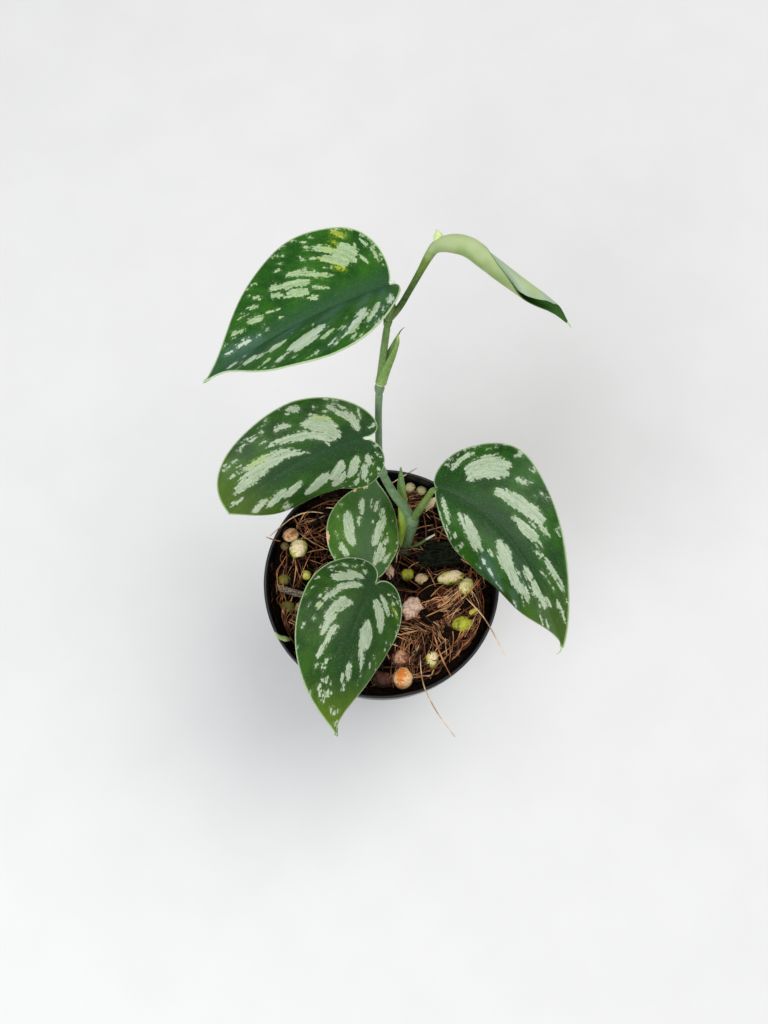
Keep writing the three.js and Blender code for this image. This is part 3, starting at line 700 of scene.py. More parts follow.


# %% [markdown]
# ## Satin skin
#
# The paint reads how deep each point lies in a silver stroke and adds a noise that is drawn out along
# the veins. Where the sum passes zero the leaf turns silver, so the marks get their torn, combed edges.
# The green is bluer beside the midrib, where a painted sheen lies, and yellower toward the margin.
# A pale line runs round the leaf, partly its own margin and partly a painted highlight on the lit edge,
# and the sheen strokes lay a painted bluish reflection over green and silver alike.

# %% Mix the satin skin
VEINS_ACROSS = 62.0  # noise features from one end of the margin to the other
VEINS_ALONG = 4.5  # and from the midrib out to it
RIPE, LIME_PATCH, LIME_HEART = colour(98, 124, 16), colour(118, 150, 22), colour(190, 198, 60)
LIME_MARK, SPECK = colour(164, 186, 92), colour(96, 134, 84)
# painted reflection: the bluish sheen tones, one for the green and one for the silver marks
PAINTED_SHEEN, PAINTED_SHEEN_ON_MARKS = colour(84, 116, 104), colour(200, 216, 202)
PALE_MARGIN_AND_HIGHLIGHT, SCORCHED = colour(176, 202, 150), colour(226, 190, 150)


def darker(tone, red, green, blue):
    return tone[0] * red, tone[1] * green, tone[2] * blue, 1


def satin_paint(name, deep, fresh, painted_rib_sheen, silver, line, ripe):
    paint = Paint(name)
    veins = paint.laid_flat("veins")
    streaks = paint.grained(veins, (VEINS_ACROSS, VEINS_ALONG, 1), 3.0, 0.6)
    hairs = paint.grained(veins, (3.4 * VEINS_ACROSS, 3.6 * VEINS_ALONG, 1), 2.0, 0.6)
    grain = paint.noise(1.2, 3.0, 0.65)
    specks = paint.noise(2.6, 2.0, 0.6)
    drift = paint.noise(0.12, 3.0, 0.55)
    lime_depth = paint.plus(paint.read("lime"), paint.push(grain, 3.0))
    lime = paint.between(paint.plus(lime_depth, paint.push(streaks, 5.0)), -0.4, 1.8)
    painted_sheen = paint.plus(paint.read("painted_sheen"), paint.push(hairs, 5.0))

    green = paint.over(deep, fresh, drift, 0.36, 0.64)
    # painted sheen: a bluish green beside the midrib stands in for a reflection
    green = paint.over(green, painted_rib_sheen, paint.read("from_rib"), 0.6, 6.5, 0.9, 0.0)
    green = paint.over(green, RIPE, paint.read("along"), 0.64, 1.0, 0.0, ripe)
    green = paint.mix(paint.calculate("MULTIPLY", lime, 0.6), green, LIME_PATCH)
    green = paint.over(green, LIME_HEART, lime_depth, 0.5, 1.2, 0.0, 0.6)
    green = paint.over(green, darker(deep, 0.45, 0.55, 0.3), hairs, 0.34, 0.5, 0.35, 0.0)
    green = paint.over(green, SPECK, specks, 0.58, 0.7, 0.0, 0.4)
    # painted reflection: the sheen strokes turn the green bluish
    green = paint.over(green, PAINTED_SHEEN, painted_sheen, -1.2, 2.4, 0.0, 0.5)

    pale = paint.over(darker(silver, 0.74, 0.82, 0.72), silver, streaks, 0.36, 0.62)
    pale = paint.over(pale, fresh, hairs, 0.36, 0.5, 0.36, 0.0)
    pale = paint.over(pale, darker(silver, 0.6, 0.72, 0.6), specks, 0.36, 0.5, 0.3, 0.0)
    pale = paint.over(pale, fresh, paint.cells(1.3, "DISTANCE_TO_EDGE"), 0.02, 0.1, 0.2, 0.0)
    pale = paint.mix(paint.calculate("MULTIPLY", lime, 0.7), pale, LIME_MARK)
    # painted reflection: silver marks under the sheen turn bluish white
    pale = paint.over(pale, PAINTED_SHEEN_ON_MARKS, painted_sheen, -2.0, 0.6, 0.0, 0.6)

    # the three noises push the edge of a mark in and out, and a haze of silver lies round it
    inside = paint.calculate("MINIMUM", paint.read("silver"), 0.8)
    torn = paint.plus(paint.push(streaks, 1.8), paint.push(hairs, 0.7), paint.push(grain, 2.3))
    depth = paint.plus(inside, torn)
    marked = paint.between(depth, -0.1, 0.12)
    skin = paint.mix(marked, paint.over(green, pale, depth, -0.8, 0.0, 0.0, 0.08), pale)

    # the pale line round the edge is partly the leaf's own margin and partly a painted highlight on the lit
    # edge
    skin = paint.over(skin, PALE_MARGIN_AND_HIGHLIGHT, paint.read("to_edge"), 0.14, 0.46, line, 0.0)
    skin = paint.over(skin, SCORCHED, paint.plus(paint.read("dry"), paint.push(grain, 1.6)), 0.0, 0.25)
    relief = paint.bump(paint.cells(3.2), 0.02, 0.35)
    relief = paint.bump(hairs, 0.05, 0.4, relief)
    relief = paint.bump(marked, 0.05, 0.25, relief)
    rough = paint.between(marked, 0.0, 1.0, 0.42, 0.55)
    return paint.finish(Base_Color=skin, Roughness=rough, Normal=relief, Specular_IOR_Level=0.2)


print("streaks in each half of a leaf:", VEINS_ACROSS)

# %% [markdown]
# ## The five leaves and their undersides
#
# No two leaves are equally old, so each has its own greens. The young ones are lighter, and the lowest has
# begun to turn yellow at its tip. All five share one underside and one pale margin.

# %% Mix a skin for each leaf


def underside_paint():
    paint = Paint("leaf_underside")
    lines = paint.grained(paint.laid_flat("veins"), (30.0, 1.5, 1), 1.0)
    skin = paint.over(colour(104, 140, 84), colour(124, 156, 98), paint.noise(0.15, 3.0), 0.35, 0.65)
    skin = paint.over(skin, colour(84, 120, 66), lines, 0.35, 0.5, 0.35, 0.0)
    relief = paint.bump(lines, 0.12, 0.5)
    return paint.finish(Base_Color=skin, Roughness=0.5, Normal=relief, Specular_IOR_Level=0.35)


def margin_paint():
    paint = Paint("leaf_margin")
    skin = paint.over(colour(176, 202, 148), colour(200, 218, 176), paint.noise(0.5, 3.0), 0.3, 0.7)
    return paint.finish(Base_Color=skin, Roughness=0.45, Specular_IOR_Level=0.35)


SILVER, GREENER, PALER = colour(188, 200, 174), colour(178, 198, 154), colour(200, 212, 184)
SKINS = {
    # deep green, fresh green toward the margin, a painted bluish sheen beside the midrib, the marks,
    # and then shares: how strong the pale line round the edge is, partly a painted highlight,
    # and how yellow the tip has turned
    "leaf_back": (colour(20, 72, 6), colour(44, 98, 14), colour(44, 82, 50), GREENER, 0.85, 0.0),
    "leaf_left": (colour(30, 66, 18), colour(50, 92, 24), colour(38, 68, 38), SILVER, 0.85, 0.5),
    "leaf_centre": (colour(54, 92, 28), colour(78, 120, 40), colour(62, 96, 54), PALER, 0.8, 0.0),
    "leaf_front": (colour(27, 66, 10), colour(50, 90, 16), colour(33, 66, 27), SILVER, 0.85, 0.85),
    "leaf_right": (colour(20, 62, 6), colour(42, 90, 14), colour(25, 62, 19), SILVER, 0.5, 0.35),
}
satin = {name: satin_paint("satin_" + name[5:], *tones) for name, tones in SKINS.items()}
underside = underside_paint()
margin = margin_paint()
print("leaf skins:", ", ".join(SKINS))

# %% [markdown]
# ## Growing the blades
#
# A flat grid has the right order of points: one direction is the vein, the other the way out along it.
# Each point is moved to its place on the leaf's formula, so rows of faces follow the veins. The relief
# is moved in at the same time: a groove over the midrib, faint furrows over the veins and a slow
# unevenness. Solidify then gives the sheet its thickness, with the underside and the margin painted
# apart.

# %% Make the five open leaves
VEIN_STEPS = 168
OUT_STEPS = 40
CROWDING = 1.3  # of the rows toward the tip
EDGE_STEPS = 400
THICKNESS = 0.45
FURROWS = 13  # main side veins in each half
GROOVE_DEPTH, GROOVE_WIDTH = 0.24, 0.75
FURROW_DEPTH = 0.07
UNEVEN = 0.22
APART = 3.7  # keeps the noise of one half away from that of the other


def relief_at(blade, side, vein, t, u, v):
    """How far the skin stands above the smooth face, in millimetres."""
    groove = -GROOVE_DEPTH * math.exp(-((v / GROOVE_WIDTH) ** 2)) * (1 - 0.75 * min(max(u, 0), 1))
    ridge = max(0.0, math.cos(2 * math.pi * FURROWS * vein)) ** 4
    slow = UNEVEN * noise.noise(Vector((u * 3.2, v * 0.11, blade.length))) * t
    return groove - FURROW_DEPTH * ridge * math.sin(math.pi * min(t, 0.97)) + slow


def distance_to_line(places, line):
    """The distance of each place to the nearest corner of a line with closely spaced corners."""
    return np.min(np.linalg.norm(places[:, None, :] - line[None, :, :], axis=2), axis=1)


def grow_leaf(name, seed):
    blade, marks = blades[name], MARKS[name]
    shape = bmesh.new()
    bmesh.ops.create_grid(shape, x_segments=VEIN_STEPS, y_segments=2 * OUT_STEPS, size=1)
    spots, flats = [], []
    for vert in shape.verts:
        vein = 1 - (1 - (vert.co.x + 1) / 2) ** CROWDING
        side = 1 if vert.co.y >= 0 else -1
        t = min(abs(vert.co.y), 1.0)
        u, v = blade.on_vein(side, vein, t)
        vert.co = (blade.face(u, v) + blade.normal(u, v) * relief_at(blade, side, vein, t, u, v)) * MM
        spots.append((side, vein, t))
        flats.append((u * blade.length, v))
    sides, flats = np.array([spot[0] for spot in spots]), np.array(flats)

    veins_uv = shape.loops.layers.uv.new("veins")
    shape.verts.index_update()
    for face in shape.faces:
        here = [spots[vert.index] for vert in face.verts]
        right = sum(side for side, _, t in here if t > 1e-6) <= 0
        for loop, (_, vein, t) in zip(face.loops, here):
            loop[veins_uv].uv = (vein + (APART if right else 0) + seed, t + 0.37 * seed)

    depths = {kind: np.zeros(len(flats)) for kind in ("silver", "lime", "dry", "painted_sheen")}
    to_edge = np.zeros(len(flats))
    flecks = scattered_flecks(blade, FLECKS[name], seed)
    for side, half in SIDES.items():
        here = np.flatnonzero(sides == side)
        for kind, store in depths.items():
            strokes = [mark[1:] for mark in marks.get(kind, []) if mark[0] == side]
            if kind == "silver":
                strokes = marks[half] + flecks[side]
            store[here] = stroke_depth(blade, side, strokes, flats[here])
        edge = np.array([flat_place(blade, side, m, 1) for m in np.linspace(0, 1, EDGE_STEPS)])
        to_edge[here] = distance_to_line(flats[here], edge)
    along, across = flats[:, 0], flats[:, 1]
    carry(shape, **depths, to_edge=to_edge, from_rib=np.abs(across), along=along / blade.length)
    bmesh.ops.remove_doubles(shape, verts=shape.verts, dist=0.01 * MM)
    leaf = hand_in(name + "_blade", shape, satin[name], underside, margin, slot="satin_leaf", nodes=[name])
    thicken(leaf, THICKNESS, -1)


for seed, name in enumerate(LEAVES, start=1):
    grow_leaf(name, seed)

# %% [markdown]
# ## Tubes
#
# A stem, a root or a strand of coir is round, so a curve object with a bevel draws it at once: each
# point of the curve has its own radius. The curve is turned into a mesh at the end, because only
# meshes take a place in the frame that stays put.

# %% Draw round strands along routes


def worked_out(thing):
    """The mesh that a curve, or an object's modifiers, come to."""
    bpy.context.view_layer.update()
    return bpy.data.meshes.new_from_object(thing.evaluated_get(bpy.context.evaluated_depsgraph_get()))


def strands(name, routes, roundness, paint, **place):
    """One piece of round strands. Each route is a list of places and a list of radii."""
    curve = bpy.data.curves.new(name, "CURVE")
    curve.dimensions = "3D"
    curve.bevel_depth = MM
    curve.bevel_resolution = roundness
    curve.use_fill_caps = True
    for places, radii in routes:
        spline = curve.splines.new("POLY")
        spline.points.add(len(places) - 1)
        for point, spot, radius in zip(spline.points, places, radii):
            point.co = (*(spot * MM), 1)
            point.radius = radius
    drawn = show(name + "_curve", curve)
    shape = bmesh.new()
    shape.from_mesh(worked_out(drawn))
    bpy.data.objects.remove(drawn)
    bmesh.ops.remove_doubles(shape, verts=shape.verts, dist=0.001 * MM)
    bmesh.ops.recalc_face_normals(shape, faces=shape.faces)
    hand_in(name, shape, paint, **place)


# %% [markdown]
# ## Lumps
#
# Crowns, knuckles, stones and crumbs are all lumps. An icosphere has no poles and even faces, so a noise
# that pushes its points in and out gives a natural lump at any size.

# %% Shape a lump


def knob(shape, centre, radii, detail, rough, seed, turn=0.0):
    """Adds a lumpy ball to the shape and returns how far up each of its points looks."""
    made = bmesh.ops.create_icosphere(shape, subdivisions=detail, radius=1)
    turned = Matrix.Rotation(turn, 3, "Z")
    ups = []
    for vert in made["verts"]:
        way = vert.co.normalized()
        lump = 1 + rough * noise.fractal(way * 1.3 + Vector((seed * 7.1, seed * 3.3, 0)), 0.9, 2.1, 3)
        place = turned @ Vector((way.x * radii[0], way.y * radii[1], way.z * radii[2])) * lump
        vert.co = (Vector(centre) + place) * MM
        ups.append(way.z)
    return ups


# %% [markdown]
# ## The vine
#
# The vine climbs out of the soil, bends at each node and sends out a leaf there. Its nodes are a little
# thicker, with a ring where an old sheath fell off. The points are those of the plain stem. Only the
# radius is worked finer, with a swelling and a ring at every node.

# %% Set the points of the stem and its stalks
CROWN = (7, 12, 40)
NODE_LOW = (9.1, 17.4, 66)
NODE_LEFT = (0.2, 28.1, 80)
NODE_MID = (-0.5, 44.6, 104)
NODE_TOP = (1.8, 57.1, 121)
NODES = (NODE_LOW, NODE_LEFT, NODE_MID, NODE_TOP)

MAIN_STEM = dict(
    points=[
        CROWN, (7.2, 12.3, 53), (8.6, 14.8, 60), NODE_LOW, (6.7, 20.8, 69), (4.3, 23, 72), (1.9, 25.7, 76),
        NODE_LEFT, (-0.6, 31.6, 85), (-0.8, 36.6, 92), (-0.8, 41, 98), NODE_MID, (0.5, 50.6, 113), NODE_TOP,
    ],
    radii=[1.6, 1.6, 1.4, 1.6, 1.3, 1.3, 1.2, 1.15, 1, 1, 1, 1.1, 1, 0.95],
)
STALKS = {
    "leaf_back": dict(points=[NODE_TOP, (3, 58.9, 124.5)], radii=[1, 0.95]),
    "leaf_left": dict(points=[NODE_LEFT, (-1.4, 29.8, 86)], radii=[1, 0.95]),
    "leaf_right": dict(
        points=[NODE_LOW, (11.4, 19.8, 71), (13.6, 22.1, 74.5), (15.1, 23.1, 78)],
        radii=[1.35, 1.1, 0.98, 0.9],
    ),
    "leaf_front": dict(points=[(-1.4, -3.6, 50), (-1.5, -4.6, 60)], radii=[1.3, 1.15]),
    "leaf_centre": dict(points=[(-1, -0.8, 50), (-1, 0.4, 58)], radii=[1.2, 1.1]),
}
ROLLED_STALK = dict(
    points=[
        NODE_TOP, (4.7, 58.8, 125.5), (7.5, 60.9, 132), (10.3, 63.6, 138), (12.5, 65.8, 142.6),
        (14.1, 66.6, 145.4), (16, 66.9, 146.8),
    ],
    radii=[0.9, 0.9, 0.85, 0.95, 1.25, 1.5, 1.1],
)
ROOTLET = dict(
    points=[(8, 12, 55.8), (10.8, 12.4, 57.4), (13.5, 13.8, 58.3), (16.1, 15.2, 58.9)],
    radii=[0.6, 0.5, 0.45, 0.28],
)
print(f"the vine has {len(NODES)} nodes, the highest at {NODE_TOP[2]} mm")

# %% [markdown]
# ## The greens of the stems
#
# The vine is grey-green low down and a fresher green near its tip, so its skin is graded by height. Fine
# pale streaks run up it, and dull blotches lie over them. One table holds the grades of every stem,
# stalk, sheath and crown, because only the colours differ.

# %% Mix the greens of the stems
GREENS = {
    # heights in millimetres, each with the colour of the skin there, and then the colour of its streaks
    "vine_green": (
        {
            55: (78, 100, 60), 64: (100, 128, 88), 100: (110, 136, 102), 104.8: (104, 130, 96),
            106.5: (104, 132, 76), 117: (96, 126, 62), 124: (88, 120, 54),
        },
        (146, 170, 130),
    ),
    "yellow_green_stalk": ({62: (78, 102, 66), 68: (84, 112, 54), 78: (112, 140, 66)}, (168, 186, 118)),
    "rolled_stalk_green": (
        {
            120: (94, 120, 66), 124: (86, 110, 56), 128: (50, 80, 20), 135: (60, 90, 28), 141: (98, 122, 46),
            143.4: (150, 172, 104), 146: (172, 188, 136),
        },
        (116, 138, 68),
    ),
    "root_green": ({57: (58, 84, 40), 58.6: (78, 104, 56), 58.8: (216, 222, 204)}, (120, 142, 92)),
    "ring_pale": ({60: (196, 222, 160)}, (216, 232, 190)),
    "ring_dark": ({60: (70, 98, 56), 130: (66, 92, 44)}, (96, 120, 74)),
    "crown_green": ({50: (40, 50, 38), 57: (66, 82, 58)}, (96, 112, 84)),
    # painted highlight: the knuckles are near white, where light catches the top of the stalk
    "knuckle_highlight": ({60: (218, 228, 202), 140: (212, 226, 190)}, (240, 244, 230)),
    "sheath_green": (
        {105.5: (132, 158, 88), 110: (106, 140, 68), 115: (116, 148, 74), 118: (176, 196, 116)},
        (168, 190, 120),
    ),
    "bud_core": ({104: (90, 128, 60), 117: (112, 148, 84)}, (150, 178, 120)),
    "spear_green": (
        {52: (120, 150, 62), 60: (164, 192, 62), 67: (134, 166, 84), 75: (98, 134, 84)},
        (176, 198, 120),
    ),
    "tip_green": ({142: (178, 202, 122), 146.4: (204, 222, 152)}, (222, 234, 184)),
    "dry_sheath_buff": ({68: (176, 158, 112), 75: (220, 208, 172)}, (238, 230, 206)),
    "scrap_green": ({58: (96, 124, 60), 61.5: (150, 172, 108)}, (186, 200, 140)),
}


def stem_paint(name, grades, streak):
    """Plant skin, whose colour changes with the height."""
    paint = Paint(name)
    height = paint.part(paint.place, "Z")
    lines = paint.grained(paint.place, per_mm(2.4, 2.4, 0.22), 3.0, 0.6)
    heights, tones = list(grades), [colour(*tone) for tone in grades.values()]
    skin = tones[0]
    for start, end, tone in zip(heights, heights[1:], tones[1:]):
        skin = paint.over(skin, tone, height, start * MM, end * MM)
    skin = paint.over(skin, colour(*streak), lines, 0.44, 0.68, 0.0, 0.4)
    blotches = paint.noise(0.35, 3.0, 0.6)
    skin = paint.over(skin, darker(tones[0], 0.6, 0.7, 0.6), blotches, 0.5, 0.68, 0.0, 0.35)
    relief = paint.bump(lines, 0.05, 0.5)
    return paint.finish(Base_Color=skin, Roughness=0.45, Normal=relief, Specular_IOR_Level=0.2)


greens = {name: stem_paint(name, *tones) for name, tones in GREENS.items()}
print("stem skins:", ", ".join(greens))

# %% [markdown]
# ## Stem, stalks and ribs
#
# Each strand is a smooth route with a radius at every place. The main stem swells at its nodes. A stalk
# goes on past its knee as the rib under the leaf, thinner and thinner, so that the two are one strand.

# %% Grow the stem and the stalks
STEM_STEP = 0.35
LEAST_STEPS = 6
SWELLING, SWELLING_REACH = 0.3, 1.3
RING_DEPTH, RING_AWAY, RING_REACH = 0.16, 1.9, 0.3  # the shallow ring on either side of a node
UNDER_BLADE = 3.2  # how far below its blade a stalk turns up to meet it
STALK_SEAT = 0.03
SEAT_DEPTH = 1.1
KNEE_RADIUS = 0.95
RIB_PLACES = (0.05, 0.12, 0.22, 0.34, 0.48, 0.62, 0.76, 0.9)


def round_route(points, radii, nodes=()):
    """Places and radii along a stem, thicker at its nodes, with a shallow ring above and below."""
    length = sum((Vector(q) - Vector(p)).length for p, q in zip(points, points[1:]))
    count = max(LEAST_STEPS, round(length / STEM_STEP))
    places = flow(points, count)
    thick = []
    for place, radius in zip(places, widths(points, radii, count)):
        swell = 1.0
        for node in nodes:
            away = (place - Vector(node)).length
            swell += SWELLING * math.exp(-((away / SWELLING_REACH) ** 2))
            swell -= RING_DEPTH * math.exp(-(((away - RING_AWAY) / RING_REACH) ** 2))
        thick.append(radius * swell)
    return places, thick


def stalk_and_rib(name):
    """A leaf's stalk, the knee under its blade, and the rib that runs out under the midrib."""
    blade, stalk = blades[name], STALKS[name]
    normal = blade.normal(STALK_SEAT, 0)
    knee = blade.face(STALK_SEAT, 0) - normal * (SEAT_DEPTH + UNDER_BLADE)
    points = [*stalk["points"], tuple(knee)]
    radii = [*stalk["radii"], KNEE_RADIUS]
    for u in RIB_PLACES:
        radii.append(0.65 * (1 - u) + 0.1)
        sunk = radii[-1] + 0.4 + 0.5 * math.exp(-((u / 0.1) ** 2))
        points.append(tuple(blade.face(u, 0) - blade.normal(u, 0) * sunk))
    return round_route(points, radii)


upper_routes = [round_route(**MAIN_STEM, nodes=NODES), stalk_and_rib("leaf_back"), stalk_and_rib("leaf_left")]
front_routes = [stalk_and_rib("leaf_front"), stalk_and_rib("leaf_centre")]
strands("vine", upper_routes, 5, greens["vine_green"], **STEM)
strands("right_stalk", [stalk_and_rib("leaf_right")], 5, greens["yellow_green_stalk"], **STEM)
strands("rolled_leaf_stalk", [round_route(**ROLLED_STALK)], 5, greens["rolled_stalk_green"], **STEM)
strands("front_stalks", front_routes, 5, greens["vine_green"], **SHOOT)
strands("aerial_root", [round_route(**ROOTLET)], 3, greens["root_green"], **STEM)

# %% [markdown]
# ## Rings, crowns and knuckles
#
# Where an old sheath fell off, a thin ring is left on the vine. Both shoots swell into a knobbly crown in
# the soil. Two leaves show a small knuckle where the stalk turns into the midrib, painted near white
# as a highlight, and three end in a thin drip tip.

# %% Add the rings, the crowns and the knuckles
RING_STEPS = 36
RINGS = {
    # skin, and for each ring its centre, the way that its stem runs, its radius and its thickness
    "node_ring": ("ring_pale", [((-0.15, 45.5, 105.3), (1.2, 4.3, 6.5), 1.36, 0.17)]),
    "old_rings": ("ring_dark", [(NODE_TOP, (1.4, 3.6, 8), 1.08, 0.14), (NODE_LEFT, (-2, 4, 6), 1.3, 0.12)]),
}
CROWNS = {
    # centre, radii, seed and what it belongs to
    "vine_crown": ((6.9, 12, 53.2), (2.5, 2.5, 2.3), 4, STEM),
    "front_crown": ((-1.2, -2.2, 50.5), (3.2, 3.8, 2.6), 1, SHOOT),
}
KNUCKLES = {
    # share of the midrib, half length and radius
    "leaf_back": (-0.018, 0.74, 0.62),
    "leaf_left": (-0.03, 1.5, 0.55),
}
KNUCKLE_LIFT = 0.05
DRIP_TIPS = [
    [(51, -21.9, 74), (51.1, -22.9, 73.8), (50.6, -23.7, 73.4), (49.7, -24.3, 73)],
    [(-47.7, 43.3, 112.6), (-48.2, 43.1, 112.3), (-48.3, 42.7, 112)],
    [(-12.5, -46.6, 72.4), (-12.7, -47.2, 72.3), (-12.7, -47.7, 72.1)],
]


def ring(centre, ahead, radius, thick):
    """A closed round of strand about a stem."""
    first = Vector(ahead).orthogonal().normalized()
    second = Vector(ahead).normalized().cross(first)
    rounds = [2 * math.pi * k / RING_STEPS for k in range(RING_STEPS + 1)]
    places = [Vector(centre) + (first * math.cos(a) + second * math.sin(a)) * radius for a in rounds]
    return places, [thick] * len(places)


for name, (skin, measures) in RINGS.items():
    strands(name, [ring(*each) for each in measures], 2, greens[skin], **STEM)

for name, (centre, radii, seed, place) in CROWNS.items():
    shape = bmesh.new()
    knob(shape, centre, radii, 4, 0.22, seed)
    hand_in(name, shape, greens["crown_green"], **place)

# painted highlight: each knuckle is a small knob in a near white paint
for name, (u, long, radius) in KNUCKLES.items():
    shape = bmesh.new()
    centre = blades[name].face(u, 0) + blades[name].normal(STALK_SEAT, 0) * KNUCKLE_LIFT
    knob(shape, centre, (long, radius, 0.7 * radius), 3, 0.3, 9)
    hand_in(name + "_knuckle", shape, greens["knuckle_highlight"], slot="satin_leaf")

tips = [(flow(points, 12), [0.34 - 0.2 * k / 12 for k in range(13)]) for points in DRIP_TIPS]
strands("drip_tips", tips, 2, margin, slot="satin_leaf")

# %% [markdown]
# ## Sheaths
#
# At each node a pothos wraps its next leaf in a thin sheath, which splits down one side and ends in a
# point. A sheath is a sheet round a stem: a grid whose columns go round the route and whose rows go up
# it. It opens toward the end, because the angle that it covers shrinks while its radius grows.

# %% Wrap the sheaths
SHEATH_ROWS = 60
SHEATH_COLUMNS = 28
FLARE = 0.12
SHEATHS = {
    # open_way is the direction of the split, and cover the degrees that it wraps, first to last
    "middle_sheath": dict(
        points=[
            (-0.1, 45.6, 105.5), (0.8, 47.9, 108.7), (2.9, 51.5, 112.2), (4, 53.4, 115.4), (4.5, 54.4, 118.1),
        ],
        radii=[1.45, 1.5, 1.24, 0.8, 0.1], open_way=(-0.8, -0.1, 0.55), cover=(350, 240), skin="sheath_green",
    ),
    "crown_spear": dict(
        points=[
            (7, 12, 48), (6.7, 12.9, 53), (6.6, 17.1, 59.5), (6.3, 22.7, 65), (5.9, 27, 71), (5.7, 30.7, 76),
        ],
        radii=[1.5, 1.5, 1.35, 1.3, 1.05, 0.12], open_way=(0.9, 0.3, 0), cover=(350, 320), skin="spear_green",
    ),
    "rolled_leaf_sheath": dict(
        points=[(14.7, 67.7, 146.2), (14.4, 68.8, 147.1), (14, 70, 147.5)],
        radii=[1.4, 0.95, 0.1], open_way=(0.3, 0, -1), cover=(250, 180), skin="tip_green",
    ),
    "right_sheath": dict(
        points=[(12.6, 19.8, 69.6), (14.4, 21, 72.4), (16.3, 21.9, 75.2)], radii=[0.8, 1.1, 0.2],
        open_way=(-0.5, -0.5, 0.7), cover=(210, 150), skin="dry_sheath_buff", thickness=0.2,
    ),
}
MIDDLE_CORE = dict(
    points=[NODE_MID, (0.6, 48.2, 108), (2.6, 52, 112), (3.8, 53.8, 115.2), (4.4, 54.6, 117.4)],
    radii=[0.8, 1, 0.8, 0.5, 0.1],
)
SHEATH_HAIR = dict(
    points=[(4.5, 54.2, 117.6), (5.2, 55.2, 118.7), (6.2, 56, 119.3)],
    radii=[0.22, 0.16, 0.07],
)


def sheath(name, points, radii, open_way, cover, skin, thickness=0.3):
    route = flow(points, SHEATH_ROWS)
    around = widths(points, radii, SHEATH_ROWS)
    crossways = axes_along(route)
    shape = bmesh.new()
    bmesh.ops.create_grid(shape, x_segments=SHEATH_ROWS, y_segments=SHEATH_COLUMNS, size=1)
    for vert in shape.verts:
        row = round((vert.co.x + 1) / 2 * SHEATH_ROWS)
        s = row / SHEATH_ROWS
        first, second = crossways[row]
        split = math.atan2(Vector(open_way).dot(second), Vector(open_way).dot(first))
        span = math.radians(cover[0] + (cover[1] - cover[0]) * s)
        angle = split + math.pi + vert.co.y * span / 2
        flare = 1 + FLARE * math.sin(9 * s + 3 * vert.co.y) * s
        out = first * math.cos(angle) + second * math.sin(angle)
        vert.co = (route[row] + out * (around[row] * flare)) * MM
    bmesh.ops.recalc_face_normals(shape, faces=shape.faces)
    thicken(hand_in(name, shape, greens[skin], **STEM), thickness, 0)


for name, measures in SHEATHS.items():
    sheath(name, **measures)
strands("sheath_core", [round_route(**MIDDLE_CORE)], 4, greens["bud_core"], **STEM)
strands("sheath_hair", [round_route(**SHEATH_HAIR)], 2, greens["ring_dark"], **STEM)

# %% [markdown]
# ## The rolled leaf
#
# The youngest leaf is still a scroll. What shows is its pale underside. Toward the tip the scroll
# loosens, and its lower lip shows the dark upper face. It is modelled as the sheet that it is: each
# row of the grid is a spiral, wound less and less toward the tip.

# %% Set the roll's measures and mix its paints
SCROLL_POINTS = [
    (12.9, 65.7, 143.9), (15, 66.4, 146.1), (18.4, 66.1, 147.4), (21.9, 65.1, 147.5), (25.7, 62.7, 146.5),
    (30.1, 60.1, 144.5), (35.3, 57.5, 141.5), (40.7, 55.4, 138), (45.2, 54, 134.5), (48.6, 51.9, 131),
]
SCROLL_RADII = [1.0, 2.1, 2.7, 2.8, 2.7, 2.65, 2.45, 2.1, 1.45, 0.3]
# Where the two edges of the sheet lie round the scroll: a share of its length, and degrees counted from
# its upper right through the side that faces up.
FACING = Vector((-0.08, -0.44, 0.89))
OUTER_EDGE = [
    (0, -120), (0.28, -10), (0.35, 44), (0.41, 70), (0.48, 88), (0.54, 106), (0.61, 134), (0.68, 164),
    (0.75, 190), (0.84, 204), (1, 210),
]
INNER_EDGE = [
    (0, 560), (0.3, 540), (0.5, 510), (0.6, 495), (0.66, 488), (0.72, 462), (0.77, 432), (0.83, 414),
    (0.88, 365), (1, 330),
]
TIGHTEN = 0.2  # share of the radius lost in one full turn
LIP_LIFT, LIP_SPAN, LIP_MIDDLE, LIP_REACH = 0.16, 22, 0.55, 0.16  # the outer edge stands off there
# the dark line is partly painted shadow under the lifted lip and partly the lip's own dark upper face
EDGE_SHOWN = (0.3, 0.7)  # the part of the length where the outer edge has a dark line
NO_EDGE = 9.0
ROLL_ROWS = 140
ROLL_COLUMNS = 96
ROLL_THICKNESS = 0.3
TIP = [(48.4, 52.1, 131.2), (49.1, 51.7, 130.4), (49.6, 51.3, 129.4)]


def young_under_paint():
    paint = Paint("young_underside")
    scroll = paint.laid_flat("scroll")
    veins = paint.grained(scroll, (3, 46, 1), 3.0)
    # painted shade: the underside darkens toward the front, lower side of the scroll
    skin = paint.over(colour(174, 191, 138), colour(132, 154, 92), paint.read("low"), 0.0, 1.0)
    skin = paint.over(skin, colour(164, 184, 156), paint.read("layer"), 0.7, 0.9)
    skin = paint.over(skin, colour(192, 202, 160), paint.noise(0.2, 3.0), 0.35, 0.65, 0.0, 0.3)
    skin = paint.over(skin, colour(166, 186, 156), paint.part(scroll, "X"), 0.66, 0.78)
    skin = paint.over(skin, colour(124, 156, 92), veins, 0.34, 0.5, 0.22, 0.0)
    # painted shadow along the outer edge, in the dark green of the upper face
    skin = paint.over(skin, colour(64, 98, 44), paint.read("from_edge"), 0.1, 0.3, 0.9, 0.0)
    relief = paint.bump(veins, 0.05, 0.4)
    return paint.finish(Base_Color=skin, Roughness=0.5, Normal=relief, Specular_IOR_Level=0.25)


